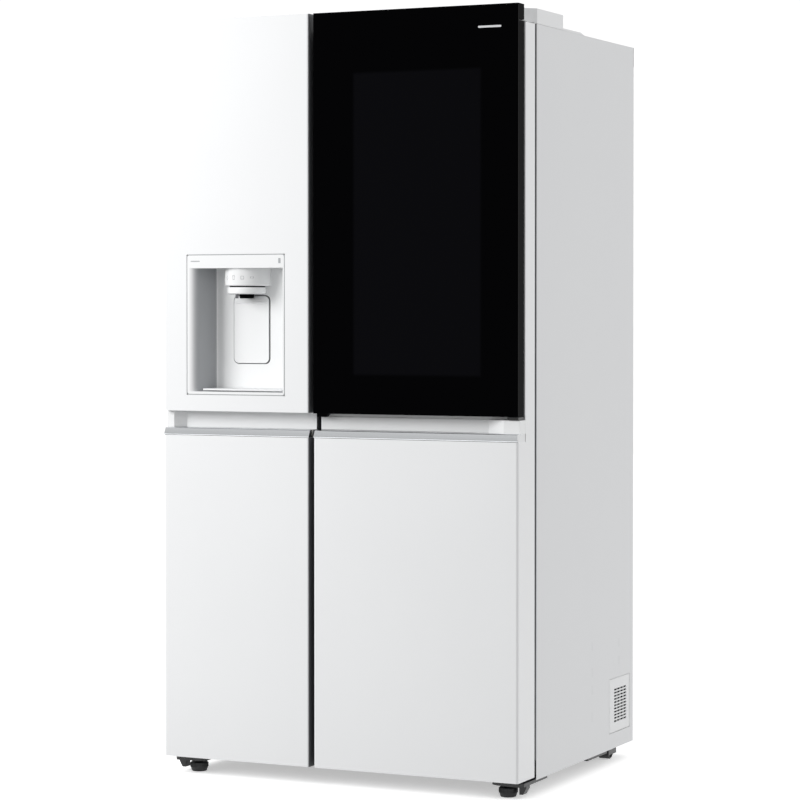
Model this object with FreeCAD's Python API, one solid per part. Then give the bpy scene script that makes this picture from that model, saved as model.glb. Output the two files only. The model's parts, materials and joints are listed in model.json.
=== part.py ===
"""Side by side refrigerator with a door-in-door window and an ice and water dispenser.

Millimetres. +X is to the right seen from the front, the doors face -Y and +Z is up.
The origin is on the floor, under the middle of the outline.
"""
import FreeCAD, Part
import math
import os

os.makedirs("parts", exist_ok=True)

# ---- driving dimensions ----
WIDTH = 913.0
DEPTH = 735.0
HEIGHT = 1790.0
DOOR_DEPTH = 100.0
SEAL_GAP = 9.0
CABINET_BOTTOM = 35.0
CABINET_TOP = 1753.0
DOOR_BOTTOM = 43.0
SHOULDER_TOP = 1752.0
LIP_DEPTH = 40.0
TRIM_BOTTOM = 808.0
TRIM_TOP = 826.0
GRIP_TOP = 866.0
FRIDGE_GRIP_TOP = 857.0
GRIP_DEPTH = 41.0
SHEET = 1.0
LINER = 2.5
DOOR_RADIUS = 6.0
SPLIT_LEFT = -69.1
SPLIT_RIGHT = -57.6
PIVOT_INSET = 26.0
PIVOT_BACK = 50.0
PIN_RADIUS = 4.0
FIT_GAP = 0.05
OUTER_DOOR_DEPTH = 38.5
OUTER_DOOR_BOTTOM = 865.0
INNER_DOOR_FRONT = 42.0

LEFT, RIGHT = -WIDTH / 2, WIDTH / 2
FRONT, REAR = -DEPTH / 2, DEPTH / 2
DOOR_REAR = FRONT + DOOR_DEPTH
CABINET_FRONT = DOOR_REAR + SEAL_GAP
PIVOT_X = RIGHT - PIVOT_INSET
PIVOT_Y = FRONT + PIVOT_BACK

# cavities of the cabinet
FREEZER_X = (-396.0, -95.0)
FRIDGE_X = (-33.0, 406.0)
CAVITY_Z = (100.0, 1693.0)
CAVITY_REAR = 297.5
STEP_TOP = 345.0
STEP_FRONT = 60.0
MACHINE_TOP = 290.0
MACHINE_FRONT = 117.5
FLOOR_TOP = 80.0

# door-in-door opening through the inner door
INNER_FRONT_Y = FRONT + INNER_DOOR_FRONT
PASS_X = (4.0, 380.0)
PASS_Z = (930.0, 1690.0)

# dispenser
NICHE_X = (-392.5, -134.0)
NICHE_Z = (906.0, 1233.5)
NICHE_DEPTH = 88.0
NICHE_WALL = 76.0
NICHE_ROLL = 22.0
NICHE_LEAN = 36.0
HEAD_X = -262.5
HEAD_RADIUS = 55.0
BAR_BOTTOM = 1203.0

# window of the outer door
WINDOW_X = (46.5, 365.0)
WINDOW_Z = (956.0, 1647.6)

DRAWER_FRONT = -130.0
SHELF_FRONT = -128.0


def box(x, y, z):
    corner = FreeCAD.Vector(x[0], y[0], z[0])
    return Part.makeBox(x[1] - x[0], y[1] - y[0], z[1] - z[0], corner)


def rod(radius, start, end):
    a, b = FreeCAD.Vector(*start), FreeCAD.Vector(*end)
    return Part.makeCylinder(radius, (b - a).Length, a, b - a)


def prism(points, axis, low, high):
    """A polygon given in the two axes across `axis`, pushed from low to high along it."""
    place = {
        "x": lambda p: FreeCAD.Vector(low, p[0], p[1]),
        "y": lambda p: FreeCAD.Vector(p[0], low, p[1]),
        "z": lambda p: FreeCAD.Vector(p[0], p[1], low),
    }[axis]
    way = {
        "x": FreeCAD.Vector(high - low, 0, 0),
        "y": FreeCAD.Vector(0, high - low, 0),
        "z": FreeCAD.Vector(0, 0, high - low),
    }[axis]
    corners = [place(p) for p in points]
    wire = Part.makePolygon(corners + corners[:1])
    return Part.Face(wire).extrude(way)


def round_front(x, y, z, radius):
    """A box whose two upright front edges are rounded."""
    shape = box(x, y, z)
    edges = [
        e for e in shape.Edges
        if all(abs(v.Point.y - y[0]) < 1e-6 for v in e.Vertexes)
        and abs(e.Vertexes[0].Point.z - e.Vertexes[1].Point.z) > 1e-3
    ]
    return shape.makeFillet(radius, edges)


def hollow(x, y, z, wall, open_side):
    """A thin box with one open side: 'top', 'bottom', 'front' or 'rear'."""
    inside = {
        "x": [x[0] + wall, x[1] - wall],
        "y": [y[0] + wall, y[1] - wall],
        "z": [z[0] + wall, z[1] - wall],
    }
    axis, end, past = {
        "top": ("z", 1, z[1] + 1),
        "bottom": ("z", 0, z[0] - 1),
        "front": ("y", 0, y[0] - 1),
        "rear": ("y", 1, y[1] + 1),
    }[open_side]
    inside[axis][end] = past
    return box(x, y, z).cut(box(inside["x"], inside["y"], inside["z"]))


def join(shapes):
    return shapes[0].multiFuse(shapes[1:]).removeSplitter() if len(shapes) > 1 else shapes[0]


def group(shapes):
    return Part.makeCompound(shapes)


def mirrored(shape):
    return shape.mirror(FreeCAD.Vector(0, 0, 0), FreeCAD.Vector(1, 0, 0))


def serpentine(radius, xs, z0, pitch, count, y):
    """A tube that runs to and fro along X, climbing by `pitch` each run, in the plane at y."""
    edges = []
    for i in range(count):
        z = z0 + i * pitch
        start, end = (xs[0], xs[1]) if i % 2 == 0 else (xs[1], xs[0])
        edges.append(Part.LineSegment(FreeCAD.Vector(start, y, z), FreeCAD.Vector(end, y, z)).toShape())
        if i < count - 1:
            side = pitch / 2 if i % 2 == 0 else -pitch / 2
            turn = Part.Arc(
                FreeCAD.Vector(end, y, z),
                FreeCAD.Vector(end + side, y, z + pitch / 2),
                FreeCAD.Vector(end, y, z + pitch),
            )
            edges.append(turn.toShape())
    path = Part.Wire(edges)
    ring = Part.Wire([Part.makeCircle(radius, FreeCAD.Vector(xs[0], y, z0), FreeCAD.Vector(1, 0, 0))])
    return path.makePipeShell([ring], True, True)


# ---- cabinet ----
def side_panel():
    """Left-hand side sheet, flat."""
    return box((LEFT, LEFT + SHEET), (CABINET_FRONT, REAR), (CABINET_BOTTOM, CABINET_TOP))


VENT_Y = (573.0 + FRONT, 711.0 + FRONT)
VENT_Z = (73.0, 206.0)


def right_side_panel():
    """Right-hand side sheet with the vent opening."""
    opening = box((RIGHT - 5, RIGHT + 1), VENT_Y, VENT_Z)
    return mirrored(side_panel()).cut(opening)


def top_panel():
    return box(
        (LEFT + SHEET, RIGHT - SHEET),
        (CABINET_FRONT + SHEET, REAR - SHEET),
        (CABINET_TOP - SHEET, CABINET_TOP),
    )


def back_panel():
    return box((LEFT + SHEET, RIGHT - SHEET), (REAR - SHEET, REAR), (MACHINE_TOP, CABINET_TOP))


def front_frame():
    """Flat steel face that both door seals close on."""
    face = box(
        (LEFT + SHEET, RIGHT - SHEET), (CABINET_FRONT, CABINET_FRONT + SHEET), (FLOOR_TOP, CABINET_TOP)
    )
    for span in (FREEZER_X, FRIDGE_X):
        face = face.cut(box(span, (CABINET_FRONT - 1, CABINET_FRONT + 2), CAVITY_Z))
    return face


def cavity(span, grow):
    """The space inside one compartment, with the step over the machine room, grown by a wall."""
    x = (span[0] - grow, span[1] + grow)
    y0 = CABINET_FRONT + SHEET
    low = box(x, (y0, STEP_FRONT + grow), (CAVITY_Z[0] - grow, STEP_TOP + 5))
    high = box(x, (y0, CAVITY_REAR + grow), (STEP_TOP - grow, CAVITY_Z[1] + grow))
    return join([low, high])


def liner(span):
    inside = cavity(span, 0.0).fuse(
        box(span, (CABINET_FRONT, CABINET_FRONT + 20), CAVITY_Z)
    )
    return cavity(span, LINER).cut(inside)


def insulation_foam():
    """Foamed walls as plain slabs around the two compartments."""
    y0, y1 = CABINET_FRONT + SHEET, REAR - SHEET
    walls_left = (LEFT + SHEET, FREEZER_X[0] - LINER)
    walls_right = (FRIDGE_X[1] + LINER, RIGHT - SHEET)
    middle = (FREEZER_X[1] + LINER, FRIDGE_X[0] - LINER)
    across = (walls_left[1], walls_right[0])
    top = CABINET_TOP - SHEET
    over_step = (MACHINE_TOP, STEP_TOP - LINER)
    back = (CAVITY_REAR + LINER, y1)
    step = (STEP_FRONT + LINER, MACHINE_FRONT)
    slabs = []
    for x in (walls_left, walls_right):
        slabs.append(box(x, (y0, MACHINE_FRONT), (FLOOR_TOP, over_step[0])))
        slabs.append(box(x, (y0, y1), (over_step[0], top)))
    slabs.append(box(across, (y0, y1), (CAVITY_Z[1] + LINER, top)))
    slabs.append(box(across, (y0, step[0]), (FLOOR_TOP, CAVITY_Z[0] - LINER)))
    slabs.append(box(across, (step[0], y1), over_step))
    slabs.append(box(across, step, (FLOOR_TOP, over_step[0])))
    slabs.append(box(across, back, (over_step[1], CAVITY_Z[1] + LINER)))
    slabs.append(box(middle, (y0, back[0]), (over_step[1], CAVITY_Z[1] + LINER)))
    slabs.append(box(middle, (y0, step[0]), (CAVITY_Z[0] - LINER, over_step[1])))
    return group(slabs)


RAIL_X = (395.0, 440.0)
ROLLER_Y = 285.0
ROLLER_RADIUS = 20.0


def base_frame():
    """Welded chassis: front and rear crossbars, two side rails and the roller forks."""
    front = box((-440, 440), (CABINET_FRONT + 2, CABINET_FRONT + 42), (CABINET_BOTTOM + 3, FLOOR_TOP))
    floor = box((-440, 440), (MACHINE_FRONT + 2, REAR - 4), (62, 66))
    under = box((LEFT + 1.5, RIGHT - 1.5), (CABINET_FRONT + 2, MACHINE_FRONT + 2), (FLOOR_TOP - 1, FLOOR_TOP))
    pieces = [front, floor, under]
    for side in (-1, 1):
        x = sorted((side * RAIL_X[0], side * RAIL_X[1]))
        rail = box(x, (CABINET_FRONT + 42, MACHINE_FRONT + 2), (50, FLOOR_TOP))
        pieces.append(rail)
        for cheek in (side * 398.0, side * 432.0):
            plate = box((cheek - 2, cheek + 2), (ROLLER_Y - 26, ROLLER_Y + 26), (12, 62))
            pieces.append(plate)
        axle = rod(4.0, (side * 398.0, ROLLER_Y, ROLLER_RADIUS), (side * 432.0, ROLLER_Y, ROLLER_RADIUS))
        pieces.append(axle)
        skid = box(sorted((side * 430.0, side * 440.0)), (103, 231), (22, 62))
        pieces.append(skid)
    return join(pieces)


def rear_roller(side):
    """Nylon roller that turns on the fixed axle."""
    x0, x1 = sorted((side * 401.0, side * 429.0))
    y, z = ROLLER_Y, ROLLER_RADIUS
    wheel = rod(ROLLER_RADIUS, (x0, y, z), (x1, y, z))
    return wheel.cut(rod(4.0 + FIT_GAP, (x0 - 1, y, z), (x1 + 1, y, z)))


FOOT_X = 402.5
FOOT_Y = FRONT + 73.0
BRACKET_Z = (28.0, 36.0)


def bottom_hinges():
    """Steel bracket each side: carries the door's lower pin and the levelling foot."""
    outline = [
        (372, FRONT + 52), (388, FRONT + 44), (444, FRONT + 38), (452, FRONT + 48),
        (452, FRONT + 186), (372, FRONT + 186),
    ]
    plate = prism(outline, "z", *BRACKET_Z)
    hole = rod(PIN_RADIUS + FIT_GAP, (FOOT_X, FOOT_Y, 20), (FOOT_X, FOOT_Y, 50))
    pin = rod(PIN_RADIUS, (PIVOT_X, PIVOT_Y, BRACKET_Z[1] - 1), (PIVOT_X, PIVOT_Y, 58))
    web = box((420, 452), (CABINET_FRONT + 4, FRONT + 186), (BRACKET_Z[1] - 1, 38))
    top = BRACKET_Z[1] - 1
    leg = prism([(434, top), (434, 8), (443, 8), (451, 22), (451, top)], "y", FRONT + 62, FRONT + 84)
    right = join([plate.cut(hole), pin, web, leg])
    return group([right, mirrored(right)])


def levelling_foot(side):
    """Screw-in foot: deep cup, hexagon and threaded stem."""
    x = side * FOOT_X
    sole = Part.makeCone(18.5, 22.0, 9, FreeCAD.Vector(x, FOOT_Y, 0)).fuse(
        rod(22.0, (x, FOOT_Y, 9), (x, FOOT_Y, 22))
    )
    spokes = 6
    flat = 10.0
    hexagon = [
        (x + flat * math.cos(2 * math.pi * i / spokes), FOOT_Y + flat * math.sin(2 * math.pi * i / spokes))
        for i in range(spokes)
    ]
    nut = prism(hexagon, "z", 22, BRACKET_Z[0] - 1.5)
    stem = rod(PIN_RADIUS, (x, FOOT_Y, 22), (x, FOOT_Y, 41))
    return join([sole, nut, stem])


def top_hinges():
    """Steel arm each side that holds the door's upper pin."""
    reach = [(-30, -4), (-2, -4), (2.6, -0.9), (3, 4), (-6, 20), (-6, 100), (-30, 100)]
    arm = prism([(PIVOT_X + dx, PIVOT_Y + dy) for dx, dy in reach], "z", 1756, 1761)
    seat = box((PIVOT_X - 50, PIVOT_X + 18), (CABINET_FRONT + 12, CABINET_FRONT + 90), (CABINET_TOP, 1758))
    pin = rod(PIN_RADIUS, (PIVOT_X, PIVOT_Y, 1732), (PIVOT_X, PIVOT_Y, 1756.3))
    right = join([arm, seat, pin])
    return group([right, mirrored(right)])


COVER_TOP = 1788.0
COVER_REAR = FRONT + 268.0
COVER_TAIL = FRONT + 379.0


def hinge_covers():
    """Moulded cap over each upper hinge: narrow over the door, flush with the side behind it."""
    inner = PIVOT_X - 62
    wall = 2.0
    swing = [(-40, -7.5), (-2, -7.5), (5, -3), (6, 6), (2, 17), (-2, 25), (-2, 32), (12, 46), (26, 60)]
    outline = [(PIVOT_X + dx, PIVOT_Y + dy) for dx, dy in swing]
    outline += [(RIGHT, COVER_REAR), (inner, COVER_REAR), (inner, FRONT + 100)]
    cap = prism(outline, "z", CABINET_TOP + 0.5, COVER_TOP)
    over_door = box((0, RIGHT + 1), (FRONT, CABINET_FRONT - 4), (CABINET_TOP - 5, 1756.5))
    room_z = (CABINET_TOP, COVER_TOP - wall)
    tip = [(-37, -5), (-2.5, -5), (3.5, -1), (3.5, 5), (-4.5, 22), (-4.5, 66), (-37, 66)]
    room = prism([(PIVOT_X + dx, PIVOT_Y + dy) for dx, dy in tip], "z", *room_z)
    broad = box((inner + 3, RIGHT - 3), (FRONT + 114, COVER_REAR - 3), room_z)
    shell = cap.cut([room, broad, over_door])
    tail = prism(
        [
            (COVER_REAR, CABINET_TOP + 0.2), (COVER_REAR, 1758),
            (COVER_TAIL, 1758), (COVER_TAIL + 23, CABINET_TOP + 0.2),
        ],
        "x", inner, RIGHT,
    )
    right = join([shell, tail])
    return group([right, mirrored(right)])


def side_vent_grille():
    """Slotted plastic grille let into the right side."""
    y, z = (VENT_Y[0] + 0.4, VENT_Y[1] - 0.4), (VENT_Z[0] + 0.4, VENT_Z[1] - 0.4)
    plate = box((RIGHT - 4, RIGHT - 0.2), y, z)
    rows, columns = 11, 4
    field_y, field_z = (604.5 + FRONT, 689.5 + FRONT), (96.0, 181.0)
    pitch_y = (field_y[1] - field_y[0]) / columns
    pitch_z = (field_z[1] - field_z[0]) / rows
    slots = []
    for i in range(columns):
        for j in range(rows):
            y0, z0 = field_y[0] + i * pitch_y, field_z[0] + j * pitch_z
            slot_y, slot_z = (y0 + 1, y0 + pitch_y - 1), (z0 + 1.6, z0 + pitch_z - 1.6)
            slots.append(box((RIGHT - 5, RIGHT + 1), slot_y, slot_z))
    return plate.cut(slots)


def machine_room_cover():
    """Perforated rear cover with the cable gland beside the water inlet opening."""
    plate = box((LEFT + 6, RIGHT - 6), (REAR - 3, REAR - 1), (40, MACHINE_TOP - 2))
    cuts = []
    for i in range(14):
        for j in range(5):
            x0, z0 = -250 + i * 36, 90 + j * 32
            cuts.append(box((x0, x0 + 24), (REAR - 5, REAR), (z0, z0 + 8)))
    cuts.append(rod(14, (-380, REAR - 5, 200), (-380, REAR + 1, 200)))
    gland_at = (-400, 120)
    cuts.append(rod(9, (gland_at[0], REAR - 5, gland_at[1]), (gland_at[0], REAR + 1, gland_at[1])))
    gland = rod(9, (gland_at[0], REAR - 6, gland_at[1]), (gland_at[0], REAR, gland_at[1]))
    gland = gland.cut(rod(5, (gland_at[0], REAR - 7, gland_at[1]), (gland_at[0], REAR + 1, gland_at[1])))
    return group([plate.cut(cuts), gland])


def compressor():
    """Hermetic compressor: domed can on a foot plate with rubber grommets."""
    x, y, base = -250.0, 240.0, 66.0
    radius = 78.0
    can = rod(radius, (x, y, base + 14), (x, y, base + 150))
    rims = [e for e in can.Edges if len(e.Vertexes) == 1]
    can = can.makeFillet(34.0, rims)
    foot = box((x - 95, x + 95), (y - 60, y + 60), (base + 10, base + 16))
    grommets = [
        rod(10, (x + dx, y + dy, base), (x + dx, y + dy, base + 10)) for dx in (-80, 80) for dy in (-46, 46)
    ]
    terminal = box((x + 60, x + 100), (y - 30, y + 30), (base + 70, base + 120))
    return join([can, foot, terminal] + grommets)


COIL_PITCH = 24.0


def condenser_coil():
    """Two flat layers of serpentine tube standing beside the fan."""
    layers = [serpentine(3.0, (-20.0, 180.0), 84.0, COIL_PITCH, 8, y) for y in (180.0, 215.0)]
    return group(layers)


def evaporator_coil():
    """Serpentine tube with upright fins behind the freezer's rear cover."""
    tube = serpentine(4.0, (-370.0, -120.0), 440.0, 26.0, 14, 270.0)
    fins = [box((x, x + 1), (256, 284), (430, 790)) for x in range(-350, -130, 20)]
    return group([tube] + [fin.cut(tube) for fin in fins])


FAN_Y = 262.0
CONDENSER_FAN = (-84.0, 165.0)
EVAPORATOR_FAN = (-245.0, 900.0)


def fan_frame(centre, y0, y1, half, radius):
    """Square frame with a round opening and a motor bridge of three spokes."""
    x, z = centre
    frame = box((x - half, x + half), (y0, y1), (z - half, z + half))
    frame = frame.cut(rod(radius, (x, y0 - 1, z), (x, y1 + 1, z)))
    hub = rod(17, (x, y1 - 8, z), (x, y1, z))
    spokes = []
    for i in range(3):
        turn = 90 + 120 * i
        bar = box((10, radius + 4), (y1 - 5, y1 - 1), (-3, 3))
        bar.rotate(FreeCAD.Vector(0, 0, 0), FreeCAD.Vector(0, 1, 0), turn)
        bar.translate(FreeCAD.Vector(x, 0, z))
        spokes.append(bar)
    axle = rod(3.0, (x, y0 + 4, z), (x, y1 - 4, z))
    return join([frame, hub, axle] + spokes)


def fan_rotor(centre, y0, y1, radius, half_chord=13.0, blades=5):
    """Hub with pitched blades; its bore turns on the motor's axle."""
    x, z = centre
    hub = rod(16, (x, y0, z), (x, y1, z))
    pieces = [hub]
    for i in range(blades):
        blade = box((12, radius), (-1, 1), (-half_chord, half_chord))
        blade.rotate(FreeCAD.Vector(0, 0, 0), FreeCAD.Vector(1, 0, 0), 62)
        blade.rotate(FreeCAD.Vector(0, 0, 0), FreeCAD.Vector(0, 1, 0), 360 / blades * i)
        blade.translate(FreeCAD.Vector(x, (y0 + y1) / 2, z))
        pieces.append(blade)
    bore = rod(3.0 + FIT_GAP, (x, y0 - 1, z), (x, y1 + 1, z))
    return join(pieces).cut(bore)


def drain_pan():
    return hollow((-20, 180), (235, 345), (70, 110), 2.5, "top")


def evaporator_cover():
    """Moulded rear wall of the freezer with an air opening for the fan."""
    x, z = EVAPORATOR_FAN
    plate = box((FREEZER_X[0] + 0.5, FREEZER_X[1] - 0.5), (232, 236), (STEP_TOP + 1, CAVITY_Z[1] - 1))
    opening = box((x - 46, x + 46), (230, 240), (z - 46, z + 46))
    vents = [
        box((x - 90 + 46 * i, x - 60 + 46 * i), (230, 240), (z0, z0 + 8))
        for z0 in (1150, 1166, 1450, 1466) for i in range(4)
    ]
    return plate.cut([opening] + vents)


def fridge_air_duct():
    """Tall air column up the rear wall of the fresh food side."""
    column = box((110, 262), (270, CAVITY_REAR), (400, 1640))
    vents = [
        box((110 + 18, 262 - 18), (268, 276), (z, z + 8))
        for base in (560, 900, 1240) for z in (base, base + 16)
    ]
    return column.cut(vents)


FRIDGE_SHELVES = (560.0, 820.0, 1080.0, 1340.0)
FREEZER_SHELVES = (640.0, 900.0, 1180.0, 1440.0)
FRIDGE_SHELF_REAR = 265.0
FREEZER_SHELF_REAR = 228.0


def glass_shelves():
    """Toughened glass shelves on both sides."""
    plates = [
        box((FRIDGE_X[0] + 0.5, FRIDGE_X[1] - 0.5), (SHELF_FRONT, FRIDGE_SHELF_REAR), (z, z + 5))
        for z in FRIDGE_SHELVES
    ]
    plates += [
        box((FREEZER_X[0] + 0.5, FREEZER_X[1] - 0.5), (SHELF_FRONT, FREEZER_SHELF_REAR), (z, z + 5))
        for z in FREEZER_SHELVES
    ]
    return group(plates)


def interior_lamps():
    """Flat LED lamps on the ceiling of each compartment."""
    lamps = []
    for span in (FREEZER_X, FRIDGE_X):
        middle = (span[0] + span[1]) / 2
        lamps.append(box((middle - 70, middle + 70), (-60, -10), (CAVITY_Z[1] - 9, CAVITY_Z[1])))
    return group(lamps)


INLET_X, INLET_Z = -380.0, 200.0
INLET_RADIUS = 5.55


def water_inlet_valve():
    """Solenoid valve with its threaded water inlet facing the rear."""
    body = box((INLET_X - 20, INLET_X + 20), (300, 342), (INLET_Z - 18, INLET_Z + 18))
    coil = rod(13, (INLET_X, 320, INLET_Z + 18), (INLET_X, 320, INLET_Z + 52))
    spout = rod(INLET_RADIUS, (INLET_X, 342, INLET_Z), (INLET_X, 364, INLET_Z))
    bracket = box((INLET_X - 26, INLET_X + 26), (302, 306), (66, INLET_Z - 18))
    return join([body, coil, spout, bracket])


def screw(at, way, radius=3.5, head=2.0):
    """Pan head flush on a face, with a short shank behind it."""
    x, y, z = at
    a = FreeCAD.Vector(x, y, z)
    n = FreeCAD.Vector(*way)
    return Part.makeCylinder(radius, head, a, n)


def cabinet_screws():
    """Screws of the rear cover, rear panel edge and top hinges."""
    heads = []
    for x in (-445.0, -300.0, -100.0, 100.0, 300.0, 445.0):
        for z in (52.0, MACHINE_TOP - 14):
            heads.append(screw((x, REAR - 1, z), (0, 1, 0), head=1.0))
    for side in (-1, 1):
        for dy in (30.0, 55.0, 80.0):
            seat_z = 1761 if dy < 60 else 1758
            heads.append(screw((side * (PIVOT_X - 20), CABINET_FRONT + dy, seat_z), (0, 0, 1), 5.0, 3.0))
    return group(heads)


# ---- drawers ----
def drawer(x, y, z):
    """Clear moulded drawer with a lipped front."""
    tub = hollow((x[0] + 3, x[1] - 3), y, z, 3.0, "top")
    face = box((x[0] + 1, x[1] - 1), (y[0] - 8, y[0]), (z[0], z[1] + 6))
    middle = (x[0] + x[1]) / 2
    finger = box((middle - 60, middle + 60), (y[0] - 9, y[0] - 3), (z[1] - 22, z[1] - 6))
    return join([tub, face]).cut(finger)


LOW_DRAWER_Z = (104.0, 322.0)
HIGH_DRAWER_Z = (352.0, 540.0)
LOW_DRAWER_Y = (DRAWER_FRONT + 8, STEP_FRONT - 4)
HIGH_DRAWER_Y = (DRAWER_FRONT + 8, 222.0)


# ---- doors ----
FREEZER_DOOR_X = (LEFT, SPLIT_LEFT)
FRIDGE_DOOR_X = (SPLIT_RIGHT, RIGHT)
PANEL_REAR = DOOR_REAR - LINER
PIN_TOP_Z = (1730.0, SHOULDER_TOP + 2)
PIN_LOW_Z = (DOOR_BOTTOM - 1, 60.0)


def inside(x):
    return (x[0] + SHEET, x[1] - SHEET)


def pin_holes(side):
    """Bores for the lower and upper hinge pins of one door."""
    x, radius = side * PIVOT_X, PIN_RADIUS + FIT_GAP
    return [rod(radius, (x, PIVOT_Y, z[0]), (x, PIVOT_Y, z[1])) for z in (PIN_TOP_Z, PIN_LOW_Z)]


def lower_form(x, grow=0.0):
    """Body of a lower door panel; grow is how far inside the sheet it lies."""
    span = (x[0] + grow, x[1] - grow)
    return round_front(
        span, (FRONT + grow, PANEL_REAR), (DOOR_BOTTOM + grow, TRIM_BOTTOM - grow), DOOR_RADIUS - grow
    )


def upper_form(x, grow=0.0):
    """Body of a full upper door panel with the lip that rises past its shoulder."""
    span = (x[0] + grow, x[1] - grow)
    low, shoulder, top = GRIP_TOP + grow, SHOULDER_TOP - grow, HEIGHT - grow
    front = round_front(span, (FRONT + grow, FRONT + LIP_DEPTH - grow), (low, top), DOOR_RADIUS - grow)
    rear = box(span, (FRONT + LIP_DEPTH - grow, PANEL_REAR), (low, shoulder))
    return join([front, rear])


def door_liner(x, z, ribs):
    """White inner face of a door with its upright ribs, which carry the baskets."""
    plate = box(x, (PANEL_REAR, DOOR_REAR), z)
    pieces = [plate]
    for span in ribs:
        pieces.append(box(span, (DOOR_REAR, CABINET_FRONT + 84), RIB_Z))
    return join(pieces)


RIB_Z = (580.0, 1650.0)
FREEZER_RIBS = [(-382.0, -372.0), (-137.0, -127.0)]
FRIDGE_RIBS = [(-8.0, 2.0), (382.0, 392.0)]


def niche_box(grow=0.0, rear=0.0):
    x = (NICHE_X[0] - grow, NICHE_X[1] + grow)
    z = (NICHE_Z[0] - grow, NICHE_Z[1] + grow)
    return box(x, (FRONT - 1, FRONT + NICHE_DEPTH + rear), z)


def side_straps(x):
    """The part of the wrapped sheet that runs down each side behind the grip channel."""
    y, z = (FRONT + GRIP_DEPTH + 4, PANEL_REAR), (TRIM_BOTTOM - 2, GRIP_TOP + 2)
    return [box((x[0], x[0] + SHEET), y, z), box((x[1] - SHEET, x[1]), y, z)]


def freezer_door_skin():
    x = FREEZER_DOOR_X
    lower = lower_form(x).cut(lower_form(x, SHEET).fuse(
        box(inside(x), (PANEL_REAR - 2, PANEL_REAR + 1), (DOOR_BOTTOM + SHEET, TRIM_BOTTOM - SHEET))
    ))
    upper = upper_form(x).cut(upper_form(x, SHEET)).cut(niche_box(2.0))
    holes = pin_holes(-1)
    return join([lower.cut(holes), upper.cut(holes)] + side_straps(x))


def freezer_door_foam():
    """Foam core in plain slabs that leave the dispenser niche open."""
    x = FREEZER_DOOR_X
    upper = upper_form(x, SHEET)
    niche_x = (NICHE_X[0] - 2.5, NICHE_X[1] + 2.5)
    niche_z = (NICHE_Z[0] - 2.5, NICHE_Z[1] + 2.5)
    full = (FRONT, PANEL_REAR)
    shoulder = SHOULDER_TOP - SHEET
    blocks = [
        ((x[0], x[1]), full, (GRIP_TOP, niche_z[0])),
        ((x[0], niche_x[0]), full, niche_z),
        ((niche_x[1], x[1]), full, niche_z),
        (niche_x, (FRONT + NICHE_DEPTH + 4, PANEL_REAR), niche_z),
        ((x[0], x[1]), full, (niche_z[1], shoulder)),
        ((x[0], x[1]), full, (shoulder, HEIGHT)),
    ]
    slabs = [upper.common(box(*b)) for b in blocks]
    slabs.append(lower_form(x, SHEET))
    slabs.append(box(inside(x), (FRONT + GRIP_DEPTH + 4, PANEL_REAR), (TRIM_BOTTOM, GRIP_TOP)))
    holes = pin_holes(-1)
    return group([s.cut(holes) for s in slabs])


def fridge_door_skin():
    """Lower pan, and the ring around the inner door behind the glass."""
    x = FRIDGE_DOOR_X
    lower = lower_form(x).cut(lower_form(x, SHEET).fuse(
        box(inside(x), (PANEL_REAR - 2, PANEL_REAR + 1), (DOOR_BOTTOM + SHEET, TRIM_BOTTOM - SHEET))
    ))
    ring = box(x, (INNER_FRONT_Y, PANEL_REAR), (GRIP_TOP, SHOULDER_TOP))
    ring_y, ring_z = (INNER_FRONT_Y + SHEET, PANEL_REAR + 1), (GRIP_TOP + SHEET, SHOULDER_TOP - SHEET)
    hollowed = box(inside(x), ring_y, ring_z)
    opening = box(PASS_X, (FRONT, DOOR_REAR), PASS_Z)
    holes = pin_holes(1)
    return join([lower.cut(holes), ring.cut([hollowed, opening] + holes)] + side_straps(x))


def fridge_door_foam():
    """Foam core in slabs that leave the door-in-door opening free."""
    x = inside(FRIDGE_DOOR_X)
    y = (INNER_FRONT_Y + SHEET, PANEL_REAR)
    wall = 2.0
    top = SHOULDER_TOP - SHEET
    slabs = [
        lower_form(FRIDGE_DOOR_X, SHEET),
        box(x, (FRONT + GRIP_DEPTH + 4, PANEL_REAR), (TRIM_BOTTOM, GRIP_TOP)),
        box(x, y, (GRIP_TOP + SHEET, PASS_Z[0] - wall)),
        box(x, y, (PASS_Z[1] + wall, top)),
        box((x[0], PASS_X[0] - wall), y, (PASS_Z[0] - wall, PASS_Z[1] + wall)),
        box((PASS_X[1] + wall, x[1]), y, (PASS_Z[0] - wall, PASS_Z[1] + wall)),
    ]
    holes = pin_holes(1)
    return group([s.cut(holes) for s in slabs])


def freezer_door_liner():
    x = (LEFT + 3, SPLIT_LEFT - 3)
    return door_liner(x, (DOOR_BOTTOM + 3, SHOULDER_TOP - 3), FREEZER_RIBS)


def fridge_door_liner():
    x = (SPLIT_RIGHT + 3, RIGHT - 3)
    plate = door_liner(x, (DOOR_BOTTOM + 3, SHOULDER_TOP - 3), FRIDGE_RIBS)
    plate = plate.cut(box(PASS_X, (FRONT, DOOR_REAR + 0.01), PASS_Z))
    sleeve = box(
        (PASS_X[0] - 2, PASS_X[1] + 2), (INNER_FRONT_Y + SHEET, PANEL_REAR), (PASS_Z[0] - 2, PASS_Z[1] + 2)
    ).cut(box(PASS_X, (FRONT, DOOR_REAR), PASS_Z))
    return join([plate, sleeve])


def gasket(x, y, z, width=12.0):
    """Soft hollow seal as a ring of four strips."""
    outer = box(x, y, z)
    return outer.cut(box((x[0] + width, x[1] - width), (y[0] - 1, y[1] + 1), (z[0] + width, z[1] - width)))


SEAL_Y = (DOOR_REAR, CABINET_FRONT - 0.4)
SEAL_Z = (62.0, 1737.0)


def freezer_door_gasket():
    return gasket((-PIVOT_X, SPLIT_LEFT - 8), SEAL_Y, SEAL_Z)


def fridge_door_gasket():
    return gasket((SPLIT_RIGHT + 8, PIVOT_X), SEAL_Y, SEAL_Z)


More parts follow.
